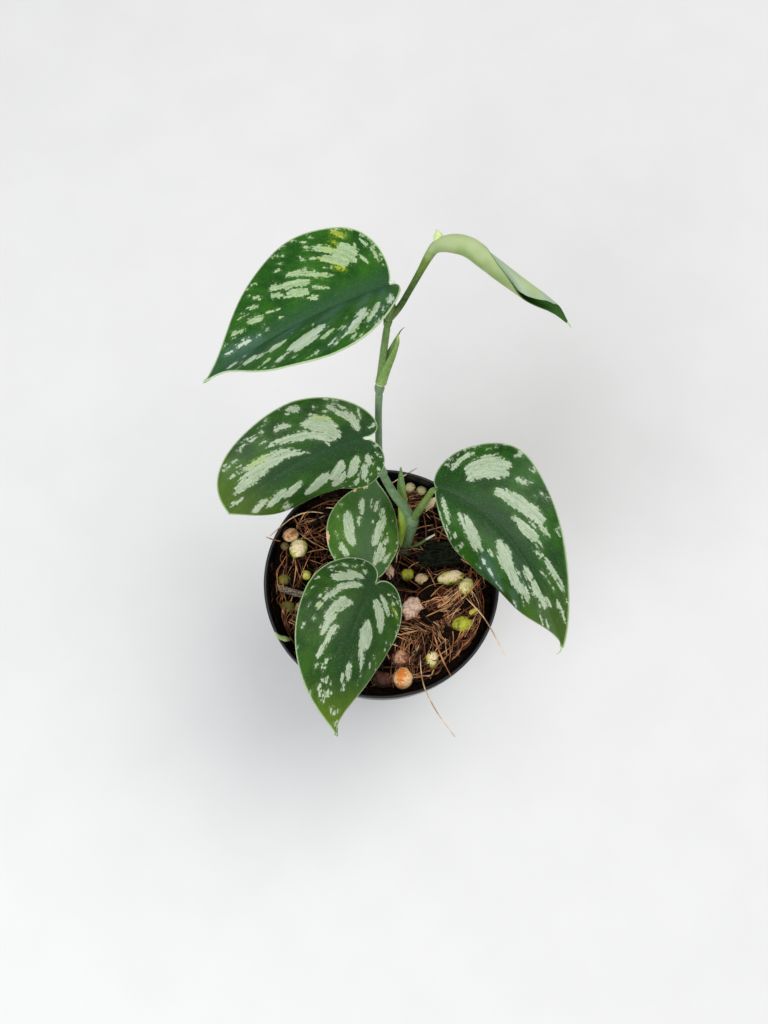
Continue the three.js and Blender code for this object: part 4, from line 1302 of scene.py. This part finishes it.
def young_face_paint():
    paint = Paint("young_upper_face")
    veins = paint.grained(paint.laid_flat("scroll"), (4, 60, 1), 3.0)
    skin = paint.over(colour(34, 74, 18), colour(62, 104, 34), veins, 0.35, 0.65)
    return paint.finish(Base_Color=skin, Roughness=0.4, Specular_IOR_Level=0.25)


young_face = young_face_paint()
young_paints = (young_under_paint(), young_face, young_face)
print("the rolled leaf is painted", ", ".join(paint.name for paint in young_paints))

# %% [markdown]
# ## Winding it up
#
# Each row of the sheet is wound round the route at its own place. It starts at the outer edge's angle
# and ends at the inner edge's, and its radius shrinks a little with every turn, so that the layers lie
# inside one another.

# %% Wind the sheet


def wind_leaf():
    route = flow(SCROLL_POINTS, ROLL_ROWS)
    around = widths(SCROLL_POINTS, SCROLL_RADII, ROLL_ROWS)
    shape = bmesh.new()
    bmesh.ops.create_grid(shape, x_segments=ROLL_ROWS, y_segments=ROLL_COLUMNS, size=1)
    layers, edges, shaded_lows, spots = [], [], [], []
    for vert in shape.verts:
        row = round((vert.co.x + 1) / 2 * ROLL_ROWS)
        s = row / ROLL_ROWS
        q = (vert.co.y + 1) / 2  # 0 at the outer edge of the scroll, 1 at its inner edge
        ahead = (route[min(row + 1, ROLL_ROWS)] - route[max(row - 1, 0)]).normalized()
        right = FACING.cross(ahead).normalized()
        front = ahead.cross(right)
        start = np.interp(s, *zip(*OUTER_EDGE))
        span = q * (np.interp(s, *zip(*INNER_EDGE)) - start)
        at_lip = math.exp(-((span / LIP_SPAN) ** 2))
        lift = LIP_LIFT * at_lip * math.exp(-(((s - LIP_MIDDLE) / LIP_REACH) ** 2))
        radius = around[row] * (1 + lift - TIGHTEN * span / 360)
        angle = math.radians(start + span)
        vert.co = (route[row] + (right * math.cos(angle) + front * math.sin(angle)) * radius) * MM
        layers.append(span / 360)
        edges.append(math.radians(span) * radius if EDGE_SHOWN[0] < s < EDGE_SHOWN[1] else NO_EDGE)
        # how far round toward the front, lower side each point lies, for the painted shade
        shaded_lows.append(0.5 - 0.5 * math.cos(angle))
        spots.append((s, span / 360))
    scroll_uv = shape.loops.layers.uv.new("scroll")
    shape.verts.index_update()
    for face in shape.faces:
        for loop in face.loops:
            loop[scroll_uv].uv = spots[loop.vert.index]
    carry(shape, layer=layers, from_edge=edges, low=shaded_lows)
    bmesh.ops.reverse_faces(shape, faces=shape.faces)
    leaf = hand_in("rolled_leaf", shape, *young_paints, slot="young_leaf", nodes=["leaf_rolled"])
    thicken(leaf, ROLL_THICKNESS, -1)


wind_leaf()
young_tip = [(flow(TIP, 8), np.linspace(0.26, 0.1, 9))]
strands("rolled_leaf_tip", young_tip, 2, greens["tip_green"], slot="young_leaf")

# %% [markdown]
# ## The pot
#
# A nursery pot is thin black plastic, blown in one shot: a tapered wall, a straight collar under the
# rim and a rolled lip. One profile, spun round the middle, makes the whole shell. Its drain holes are
# cut last, with a Boolean.

# %% Spin the pot
POT = dict(height=62, rim=35, foot=24, collar=8, step=1.1, wall=0.9, floor=1.2, lip=1.2)
HOLES = 8
HOLE_RADIUS = 2.5
HOLE_CIRCLE = 17
HOLE_SIDES = 32
POT_SIDES = 160


def wall_radius(z):
    share = z / (POT["height"] - POT["collar"])
    return POT["foot"] + (POT["rim"] - 0.5 - POT["step"] - POT["foot"]) * share


def pot_profile():
    height, rim, wall, floor = POT["height"], POT["rim"], POT["wall"], POT["floor"]
    shoulder, lip = height - POT["collar"], height - POT["lip"]
    hollow = wall_radius(floor) - wall
    foot = [(0, 0.5), (15, 0.5), (15.6, 0), (23.2, 0), (23.8, 0.25), (24, 0.8)]
    outside = [
        (wall_radius(shoulder - 1.2), shoulder - 1.2), (wall_radius(shoulder) + 0.25, shoulder - 0.7),
        (rim - 0.85, shoulder - 0.1), (rim - 0.7, shoulder + 0.4), (rim - 0.45, lip - 0.7),
    ]
    rolled_lip = [
        (rim - 0.35, lip - 0.3), (rim - 0.08, lip), (rim, height - 0.85), (rim, height - 0.5),
        (rim - 0.12, height - 0.2), (rim - 0.35, height - 0.03), (rim - 0.6, height - 0.03),
        (rim - 0.85, height - 0.25),
    ]
    inside = [
        (rim - wall - 0.1, height - 1), (rim - 0.4 - wall, shoulder + 1.2),
        (wall_radius(shoulder) - wall, shoulder), (hollow, floor + 0.6), (hollow - 0.6, floor), (0, floor),
    ]
    return [*foot, *outside, *rolled_lip, *inside]


def spun(profile, sides):
    """A profile of radius and height, spun into a closed body."""
    shape = bmesh.new()
    verts = [shape.verts.new((radius * MM, 0, z * MM)) for radius, z in profile]
    edges = [shape.edges.new(pair) for pair in zip(verts, verts[1:])]
    bmesh.ops.spin(
        shape, geom=[*verts, *edges], cent=(0, 0, 0), axis=(0, 0, 1), angle=2 * math.pi, steps=sides,
        use_merge=True,
    )
    bmesh.ops.remove_doubles(shape, verts=shape.verts, dist=0.002 * MM)
    bmesh.ops.recalc_face_normals(shape, faces=shape.faces)
    return shape


def black_plastic():
    paint = Paint("black_plastic")
    haze = paint.noise(0.06, 4.0, 0.6)
    dust = paint.noise(1.6, 3.0, 0.7)
    skin = paint.over(colour(11, 12, 15), colour(20, 22, 27), haze, 0.35, 0.7)
    skin = paint.over(skin, colour(88, 82, 74), dust, 0.62, 0.8, 0.0, 0.3)
    scuffs = paint.grained(paint.place, per_mm(0.5, 0.5, 4.0), 3.0)
    shine = paint.between(haze, 0.3, 0.7, 0.26, 0.42)
    relief = paint.bump(scuffs, 0.03, 0.5)
    return paint.finish(Base_Color=skin, Roughness=shine, Normal=relief, Specular_IOR_Level=0.5)


shell = spun(pot_profile(), POT_SIDES)
pot = hand_in("nursery_pot", shell, black_plastic(), slot="pot_plastic", nodes=["pot"])

drills = bmesh.new()
for k in range(HOLES):
    angle = 2 * math.pi * (k + 0.5) / HOLES
    centre = Vector((HOLE_CIRCLE * math.cos(angle), HOLE_CIRCLE * math.sin(angle), POT["floor"] / 2)) * MM
    bmesh.ops.create_cone(
        drills, cap_ends=True, segments=HOLE_SIDES, radius1=HOLE_RADIUS * MM, radius2=HOLE_RADIUS * MM,
        depth=8 * POT["floor"] * MM, matrix=Matrix.Translation(centre),
    )
drill = shown_mesh("drills", drills)
cut = pot.modifiers.new("drain_holes", "BOOLEAN")
cut.operation = "DIFFERENCE"
cut.object = drill
cut.solver = "EXACT"
drilled = worked_out(pot)
pot.modifiers.remove(cut)
pot.data = drilled
bpy.data.objects.remove(drill)
print(f"pot after drilling: {len(pot.data.polygons)} faces")

# %% [markdown]
# ## The bed of mix
#
# The mix is coarse: dark bark, long coir and small stones, with air between them. The bed underneath
# is only the dark ground of it. It is spun like the pot, with many rings on top, and its top is then
# pushed up and down by a formula and two noises. Chips, stones and coir go on afterwards.

# %% Fill the pot
SOIL_TOP = 54
SWELL = 0.7
DISH = dict(height=2.2, foot=24, top=32)  # the mix lies higher all round against the wall
HEAP = dict(height=4, turn=150, foot=14, top=32)  # and higher still at the back left
BED_RINGS = 60
BED_SIDES = 144


def rise(place, height, foot, top):
    """Climbs smoothly by the height between foot and top."""
    share = min(max((place - foot) / (top - foot), 0.0), 1.0)
    return height * share * share * (3 - 2 * share)


def bed_height(x, y):
    """How high the mix lies at a place."""
    turn = math.radians(HEAP["turn"])
    heap = rise(x * math.cos(turn) + y * math.sin(turn), HEAP["height"], HEAP["foot"], HEAP["top"])
    dish = rise(math.hypot(x, y), **DISH)
    wave = math.sin(0.31 * x + 0.9) * math.cos(0.27 * y) + 0.6 * math.sin(0.55 * y - 0.42 * x)
    return SOIL_TOP + SWELL * wave + max(heap, dish)


def inner_radius(z):
    """The radius of the pot's hollow at a height near its rim."""
    height, rim, wall = POT["height"], POT["rim"], POT["wall"]
    shoulder = height - POT["collar"]
    radii = (wall_radius(50) - wall, wall_radius(shoulder) - wall, rim - 1.3, rim - 1)
    return float(np.interp(z, (50, shoulder, shoulder + 1.2, height - 1), radii))


def bark_paint(name, dark, light, red, grooves=0.0):
    paint = Paint(name)
    clods = paint.noise(0.5, 5.0, 0.65)
    crumbs = paint.noise(2.2, 4.0, 0.7)
    grooved = paint.grained(paint.place, per_mm(0.35, 2.6, 2.6), 3.0, 0.6)
    skin = paint.over(dark, light, crumbs, 0.38, 0.68)
    skin = paint.over(skin, red, clods, 0.52, 0.7, 0.0, 0.6)
    skin = paint.over(skin, darker(dark, 0.3, 0.3, 0.3), grooved, 0.36, 0.52, grooves, 0.0)
    relief = paint.bump(grooved, 0.3, grooves, paint.bump(crumbs, 0.35, 0.8))
    return paint.finish(Base_Color=skin, Roughness=0.85, Normal=relief, Specular_IOR_Level=0.05)


bed_paint = bark_paint("mix_dark", colour(8, 4, 2), colour(28, 19, 12), colour(46, 26, 16))

rings = [(0, 2), (wall_radius(2) - POT["wall"] - 0.4, 2), (wall_radius(52) - POT["wall"] - 0.35, 52)]
reach = wall_radius(SOIL_TOP) - POT["wall"] - 0.4
rings += [(reach * k / BED_RINGS, SOIL_TOP) for k in range(BED_RINGS, -1, -1)]
shape = spun(rings, BED_SIDES)
for vert in shape.verts:
    x, y, z = vert.co / MM
    if z > SOIL_TOP - 1:
        rough = 1.1 * noise.noise(Vector((x, y, 0)) * 0.45) + 0.6 * noise.noise(Vector((x, y, 5)) * 1.3)
        vert.co.z = (bed_height(x, y) - 0.5 + rough) * MM
        outermost = math.hypot(x, y) - reach + 1
        if outermost > 0:  # these rings follow the wall outward where the bed is heaped
            wanted = inner_radius(vert.co.z / MM) - 0.3
            stretch = 1 + (wanted / reach - 1) * outermost
            vert.co.x *= stretch
            vert.co.y *= stretch
hand_in("mix_bed", shape, bed_paint, **MIX)

# %% [markdown]
# ## Stones
#
# The stones are buff and rounded, and the damp ones have grown a green film. Each is a lump with its own
# size, turn and two colours: that of its rock, and that of the film, rust or moss on it. The film keeps
# to the sides and the rock shows on top, so the mesh also carries how far up each point looks. The
# same number darkens the lower sides toward near black, as painted shade.

# %% Set the stones
CREAM, BUFF, PINK = colour(242, 222, 178), colour(218, 188, 144), colour(220, 172, 150)
LIME, MOSS, OLIVE = colour(180, 184, 52), colour(110, 108, 22), colour(86, 88, 32)
ORANGE, RUST, PALE_GREEN = colour(222, 126, 46), colour(116, 60, 38), colour(206, 196, 150)
STONES = [
    # x, y, length, width, height, turn, rock, film, how much is filmed,
    # where the film keeps (1 is the top, -1 the sides), lumpiness
    (-27.3, 14.7, 5, 4, 3.4, 20, BUFF, colour(168, 92, 48), 0.5, 0.6, 0.12),
    (-29.1, 11.5, 2.6, 2.6, 2, 0, colour(110, 84, 54), OLIVE, 0.6, -0.5, 0.12),
    (-25.1, 10.8, 6, 5.4, 4.4, 60, CREAM, LIME, 0.5, -1, 0.16),
    (-22.7, 3.3, 3.1, 3, 2.6, 0, CREAM, LIME, 0.75, -0.5, 0.14),
    (8.8, 30.4, 3.3, 3.3, 3.3, 0, PALE_GREEN, OLIVE, 0.3, -0.6, 0.04),
    (12.2, 29.6, 3.3, 3.3, 3.2, 0, PALE_GREEN, OLIVE, 0.45, -0.6, 0.05),
    (2.6, 4.3, 4.4, 2.3, 2.6, 90, colour(222, 186, 158), PINK, 0.5, -0.5, 0.3),
    (7.7, 3.7, 4, 3.8, 3.2, 30, LIME, MOSS, 0.6, -0.8, 0.14),
    (12.3, 2.4, 4.6, 3.6, 3, 0, BUFF, MOSS, 0.5, -1, 0.18),
    (20.9, 2.7, 7.8, 4.4, 4, 12, CREAM, LIME, 0.62, -1, 0.16),
    (25.4, -0.4, 5.4, 4.2, 4, 70, CREAM, LIME, 0.5, -1, 0.14),
    (9.1, -6.8, 6.6, 5.6, 5, 40, colour(240, 206, 184), colour(176, 124, 100), 0.36, -0.8, 0.4),
    (24.3, -11.9, 7.2, 5, 4.4, 10, LIME, MOSS, 0.55, -0.6, 0.16),
    (27.8, -8.2, 3.5, 2.4, 2.4, 20, colour(200, 186, 84), LIME, 0.5, -0.5, 0.14),
    (18.6, -12.9, 3.1, 2.4, 2.2, 0, MOSS, OLIVE, 0.5, -0.5, 0.16),
    (5.5, -22, 5.7, 5, 4, 0, colour(216, 164, 130), colour(112, 56, 34), 0.62, -0.5, 0.22),
    (15, -22.4, 5.4, 4, 3.4, 80, CREAM, LIME, 0.55, -1, 0.14),
    (6.3, -28.4, 6.4, 5.8, 4.6, 75, colour(240, 200, 146), ORANGE, 0.34, 0.9, 0.1),
    (0.3, -28.6, 6, 5, 3.6, 150, colour(74, 34, 22), colour(30, 14, 10), 0.5, -0.5, 0.26),
    (-29.4, 1.5, 4, 3.4, 2.8, 0, MOSS, OLIVE, 0.6, -0.5, 0.2),
    (-28.2, -6.7, 4, 3.6, 3, 10, OLIVE, MOSS, 0.5, -0.5, 0.2),
    (-24.6, -6.5, 3.4, 3, 2.6, 0, colour(186, 176, 124), RUST, 0.5, -0.5, 0.2),
]
STONE_LIFT = 0.34


def stone_paint():
    paint = Paint("stone")
    patches = paint.noise(0.32, 3.0, 0.6)
    grain = paint.noise(1.6, 4.0, 0.7)
    pits = paint.noise(3.4, 2.0, 0.6)
    kept = paint.calculate("MULTIPLY", paint.calculate("SUBTRACT", paint.read("up"), 0.55), paint.read("top"))
    film = paint.plus(kept, paint.push(patches, 2.6), paint.push(grain, 1.4), paint.read("filmed"))
    skin = paint.over(paint.read("rock", "Color"), paint.read("film", "Color"), film, 0.2, 0.8)
    skin = paint.over(skin, colour(104, 78, 54), grain, 0.5, 0.66, 0.0, 0.45)
    skin = paint.over(skin, colour(60, 40, 28), pits, 0.62, 0.72, 0.0, 0.6)
    # painted shade: the lower sides of each stone turn near black, as if out of the light
    painted_shade_below = paint.between(paint.read("up"), -0.3, 0.6, 0.85, 0.0)
    skin = paint.mix(painted_shade_below, skin, colour(30, 22, 14))
    relief = paint.bump(patches, 0.5, 0.5, paint.bump(grain, 0.2, 0.7))
    return paint.finish(Base_Color=skin, Roughness=0.6, Normal=relief, Specular_IOR_Level=0.3)


shape = bmesh.new()
carried = dict(up=[], filmed=[], top=[], rock=[], film=[])
for seed, (x, y, length, width, height, turn, rock, film, filmed, top, rough) in enumerate(STONES):
    centre = (x, y, bed_height(x, y) + STONE_LIFT * height)
    ups = knob(shape, centre, (length / 2, width / 2, height / 2), 4, rough, seed, math.radians(turn))
    carried["up"] += ups
    for key, value in dict(filmed=filmed, top=top, rock=rock, film=film).items():
        carried[key] += [value] * len(ups)
carry(shape, **carried)
hand_in("stones", shape, stone_paint(), **MIX)

# %% [markdown]
# ## Bark chips
#
# Chips are split wood: blocks with broken corners, lying every way. A ball turns into a block when each
# of its directions is stretched until it meets rounded walls, and the same noise as for the stones
# breaks its faces. A seed keeps the chips the same at every run. Crumbs are the same blocks, made small.

# %% Scatter the bark
CHIPS = 190
CRUMBS = 520
SQUARENESS = 6.0
CHIP_REACH = 30.5
WALL_CLEARANCE = 0.2
LAID_CHIPS = [
    # x, y, z, length, width, height, turn, tilt
    (15.1, -8.9, 55.8, 7, 4.6, 2.4, 20, 6), (14, -1, 55, 8, 4, 2.2, 70, 10),
    (-24, 26, 57, 7, 4, 3, 30, 8), (-16, 29, 57, 6, 3.6, 2.6, -20, -6),
    (22, -15.6, 55.6, 8, 3.6, 2.4, -30, 4), (26, -4.6, 55.2, 6, 3, 2, 60, 8),
]
BIG_PIECES = {
    # the same measures, seed, detail, the three colours of its bark, depth of its grooves
    "bark_slab": (
        (17.2, 10.2, 55.4, 14, 7.5, 3.2, 4, -5), 3, 5,
        (colour(11, 13, 8), colour(46, 51, 36), colour(52, 54, 34)), 1.0,
    ),
    "weathered_stick": (
        (-26.9, -2.1, 57.2, 8.4, 1.9, 1.5, -15, 4), 8, 4,
        (colour(74, 60, 48), colour(176, 164, 146), colour(110, 90, 70)), 0.8,
    ),
}


def kept_inside(place):
    """The place itself, or the nearest one just inside the pot's wall."""
    most, away = inner_radius(place.z) - WALL_CLEARANCE, math.hypot(place.x, place.y)
    if away > most:
        place.x *= most / away
        place.y *= most / away
    return place


def chip(shape, centre, size, tumble, seed, detail=3):
    """Adds a block with worn corners and broken faces."""
    made = bmesh.ops.create_icosphere(shape, subdivisions=detail, radius=0.5)
    for vert in made["verts"]:
        way = vert.co.normalized()
        wall = sum(abs(value) ** SQUARENESS for value in way) ** (1 / SQUARENESS)
        broken = 1 + 0.2 * noise.noise(way * 1.7 + Vector((seed * 3.1, 0, 0)))
        place = Vector([value / wall / 2 * long * broken for value, long in zip(way, size)])
        vert.co = kept_inside(Vector(centre) + tumble @ place) * MM


def lay(shape, measures, seed, detail=3):
    x, y, z, length, width, height, turn, tilt = measures
    tumble = Matrix.Rotation(math.radians(turn), 3, "Z") @ Matrix.Rotation(math.radians(tilt), 3, "Y")
    chip(shape, (x, y, z), (length, width, height), tumble, seed, detail)


def tumbled(draw, most):
    """A turn about the upright, and then a tilt each way by this much at most."""
    turned = Matrix.Rotation(draw.uniform(0, math.pi), 3, "Z")
    for axis in "XY":
        turned = turned @ Matrix.Rotation(draw.uniform(-most, most), 3, axis)
    return turned


def somewhere(draw, reach):
    away, angle = reach * math.sqrt(draw.random()), draw.uniform(0, 2 * math.pi)
    return away * math.cos(angle), away * math.sin(angle)


shape = bmesh.new()
draw = random.Random(5)
for seed, measures in enumerate(LAID_CHIPS):
    lay(shape, measures, seed)
for seed in range(CHIPS):
    x, y = somewhere(draw, CHIP_REACH)
    size = (draw.uniform(2.2, 6), draw.uniform(1.2, 3.2), draw.uniform(0.8, 2))
    chip(shape, (x, y, bed_height(x, y) + draw.uniform(-0.6, 0.5)), size, tumbled(draw, 0.55), 10 + seed)
bark = bark_paint("bark", colour(8, 5, 3), colour(40, 27, 18), colour(60, 33, 20), 0.5)
hand_in("bark_chips", shape, bark, **MIX)

shape = bmesh.new()
for seed in range(CRUMBS):
    x, y = somewhere(draw, CHIP_REACH + 1)
    size = [draw.uniform(0.4, 1.3) for _ in range(3)]
    chip(shape, (x, y, bed_height(x, y) + draw.uniform(-0.1, 0.7)), size, tumbled(draw, 1.5), seed, 1)
crumb_paint = bark_paint("crumbs", colour(22, 14, 9), colour(96, 66, 42), colour(140, 88, 52))
hand_in("crumbs", shape, crumb_paint, **MIX)

for name, (measures, seed, detail, tones, grooves) in BIG_PIECES.items():
    shape = bmesh.new()
    lay(shape, measures, seed, detail)
    hand_in(name, shape, bark_paint(name, *tones, grooves), **MIX)

# %% [markdown]
# ## Coir
#
# Coir is the fibre of coconut husk: springy brown hairs, some straight, some hooked. It lies strewn over
# the mix, in tufts where a piece of husk has come apart, and as a felt of roots and hairs against the
# wall. A seed draws most of it. The strands that catch the eye, such as those that hang over the rim,
# are listed one by one.

# %% Choose the coir
LAID_COIR = dict(
    pale=[
        [(11.4, -21.4, 57.5), (11.6, -26, 58.5), (12.6, -32.3, 62.5), (16, -39.1, 62.6), (21.2, -45.8, 60)],
        [(25.2, -4.2, 58), (29.4, -9.6, 60.5), (31.6, -13.7, 62.6), (33.8, -18, 62.8), (36.1, -22.2, 61.5)],
        [(-33.4, 13.8, 62.3), (-30.9, 15.9, 62.8), (-26.3, 19.9, 62), (-21.4, 22, 60), (-16, 21.9, 58)],
        [(5.6, 11.8, 56), (4.7, 9.3, 57), (4.4, 7.1, 56)],
        [(2.3, 30.6, 60), (6.2, 32.5, 62), (10.8, 36, 60)],
    ],
    tan=[
        [(14.9, -12.5, 57), (16.1, -17.4, 58.5), (18, -23.4, 60), (20.2, -28.5, 62.3)],
        [(19.4, -21.5, 57.5), (15.9, -25, 57.5), (14.3, -28.4, 57)],
        [(14.7, -3.8, 58), (16.6, -2, 59), (18.9, 0.1, 58)],
        [(20.9, -5.5, 58), (23.1, -3.4, 58.5)],
        [(13, -9.8, 57), (16.8, -8.2, 58), (21.1, -6.4, 57)],
        [(5.2, -15.3, 57), (8.5, -14.6, 58), (11.3, -13.9, 57)],
        [(-34.6, 13.4, 62.6), (-32.3, 12.6, 62.4), (-30.4, 12.8, 60)],
        [(-26.1, 8.2, 58), (-25.7, 5.6, 58), (-24.5, 2, 57)],
        [(-22.9, 9.6, 58), (-20.4, 10.4, 58), (-16.5, 11.3, 57)],
        [(16.2, -0.5, 57), (15.1, 1.9, 58), (13.8, 4.7, 57)],
    ],
    brown=[
        [(-27, 20.9, 61), (-25.1, 17.6, 61), (-23.8, 15.1, 60)],
        [(-21, 23.3, 60), (-16.1, 25.3, 60), (-13.6, 26.3, 58)],
        [(-25.2, 20, 60), (-23.3, 17.4, 60), (-18.7, 15.6, 58)],
        [(-23, 14.2, 60), (-20.5, 16.3, 59.5), (-17.3, 18.5, 58)],
        [(6.5, -10.9, 57), (10.2, -13.1, 58), (13.9, -15, 57)],
        [(16.5, -13.1, 57), (23.3, -9, 58), (28.4, -5.5, 57)],
    ],
)
COIR = dict(
    # strands strewn at random, strands in tufts, radius, colour
    dark=(150, 80, 0.18, colour(48, 27, 17)),
    brown=(86, 136, 0.16, colour(134, 78, 48)),
    tan=(50, 164, 0.145, colour(210, 150, 98)),
    pale=(16, 84, 0.125, colour(244, 208, 160)),
)
LAID_THICKNESS = 1.5  # of a listed strand, against those of its colour that are strewn
TUFTS = [
    # x, y, which way its strands lie in degrees, how far they spread, share of the strands
    (17, -6, 30, 22, 26), (22, -3, 42, 20, 22), (14, -9, -30, 20, 12), (19, -13, -65, 18, 14),
    (24, -12, 60, 25, 12), (9, -20, 75, 30, 14), (-22, 19, 25, 25, 8), (-19, 16, -40, 25, 5),
    (-28, 2, 85, 14, 6), (-28, -10, 60, 30, 8), (-25, -14, -50, 30, 7), (12, 28, 15, 20, 10),
    (10, 25, -10, 15, 8), (27, -2, -80, 15, 10), (6, -12, -15, 25, 10), (-8, 25, 20, 30, 6),
    (-14, 23, 10, 30, 5), (10, 12, -20, 60, 4), (25, -15, 60, 50, 5), (20, -20, 35, 60, 5),
    (13, -26, 20, 50, 3),
]
WALL_FELT = dict(count=45, start=118, end=236, colours=("dark", "dark", "dark", "dark", "brown"))
print("coir strands set by hand:", sum(len(lines) for lines in LAID_COIR.values()))

# %% [markdown]
# ## Drawing the coir
#
# All four shades are drawn alike. A strand lies near the top of the mix, bowed sideways and up, and gets
# thinner toward its ends. A hair of the felt climbs the wall instead.

# %% Draw the coir
STRAND_STEPS = 14
COIR_REACH = 31.8
STREWN_REACH = 28


def coir_paint(name, tone):
    paint = Paint(name)
    drift = paint.noise(0.3, 3.0)
    skin = paint.over(tone, darker(tone, 0.42, 0.36, 0.34), drift, 0.35, 0.62)
    relief = paint.bump(paint.noise(5.0, 2.0), 0.04, 0.6)
    return paint.finish(Base_Color=skin, Roughness=0.55, Normal=relief, Specular_IOR_Level=0.25)


def coir_strand(draw, middle, heading, length):
    """One strand that lies across the mix, bowed sideways and up."""
    ahead = Vector((math.cos(heading), math.sin(heading), 0))
    side = Vector((-ahead.y, ahead.x, 0))
    bow, lift, tilt = draw.uniform(-0.2, 0.2) * length, draw.uniform(0.3, 2.4), draw.uniform(-0.9, 0.9)
    points = []
    for s in (-0.5, -0.25, 0, 0.25, 0.5):
        hump = 1 - 4 * s * s
        place = middle + ahead * (length * s) + side * (bow * hump)
        if math.hypot(place.x, place.y) > COIR_REACH:
            place *= (COIR_REACH - draw.uniform(0, 2.4)) / math.hypot(place.x, place.y)
        place.z = bed_height(place.x, place.y) + 0.4 + lift * hump + tilt * s * 2
        points.append(tuple(place))
    return points


def strewn(draw):
    middle = Vector((*somewhere(draw, STREWN_REACH), 0))
    heading, length = draw.uniform(0, 2 * math.pi), draw.uniform(7, 22)
    return coir_strand(draw, middle, heading, length)


def tufted(draw):
    x, y, heading, spread, _ = draw.choices(TUFTS, [tuft[4] for tuft in TUFTS])[0]
    middle = Vector((x + draw.gauss(0, 1.7), y + draw.gauss(0, 1.7), 0))
    return coir_strand(draw, middle, math.radians(heading + draw.gauss(0, spread / 2)), draw.uniform(6, 17))


def felted(draw):
    """A hair that climbs the inside of the pot's wall."""
    angle = math.radians(draw.uniform(WALL_FELT["start"], WALL_FELT["end"]))
    low, high, lean = draw.uniform(54, 57), draw.uniform(58, 61.2), math.radians(draw.gauss(0, 5))
    points = []
    for s in (0, 0.33, 0.67, 1):
        z, a = low + (high - low) * s, angle + lean * s + draw.gauss(0, 0.008)
        r = inner_radius(z) - draw.uniform(0.4, 0.9)
        points.append((r * math.cos(a), r * math.sin(a), z))
    return points


SCRAP = dict(
    points=[(-31.2, -15.6, 63), (-30, -17, 63.2), (-28.2, -17.6, 62.6), (-26.6, -17, 59)],
    radii=[0.1, 0.6, 0.8, 0.3],
)
strands("green_scrap", [round_route(**SCRAP)], 3, greens["scrap_green"], **MIX)

draw = random.Random(41)
shares = [abs(2 * k / STRAND_STEPS - 1) for k in range(STRAND_STEPS + 1)]  # 0 in a strand's middle
felt = {tone: [] for tone in COIR}
for _ in range(WALL_FELT["count"]):
    felt[draw.choice(WALL_FELT["colours"])].append(felted(draw))
for tone, (loose, bunched, radius, shade) in COIR.items():
    lines = [strewn(draw) for _ in range(loose)] + [tufted(draw) for _ in range(bunched)] + felt[tone]
    measured = [(line, radius * draw.uniform(0.55, 1.3)) for line in lines]
    measured += [(line, radius * LAID_THICKNESS) for line in LAID_COIR.get(tone, [])]
    routes = []
    for line, thick in measured:
        routes.append((flow(line, STRAND_STEPS), [thick * (1 - 0.5 * share ** 3) for share in shares]))
    strands("coir_" + tone, routes, 1, coir_paint("coir_" + tone, shade), **MIX)
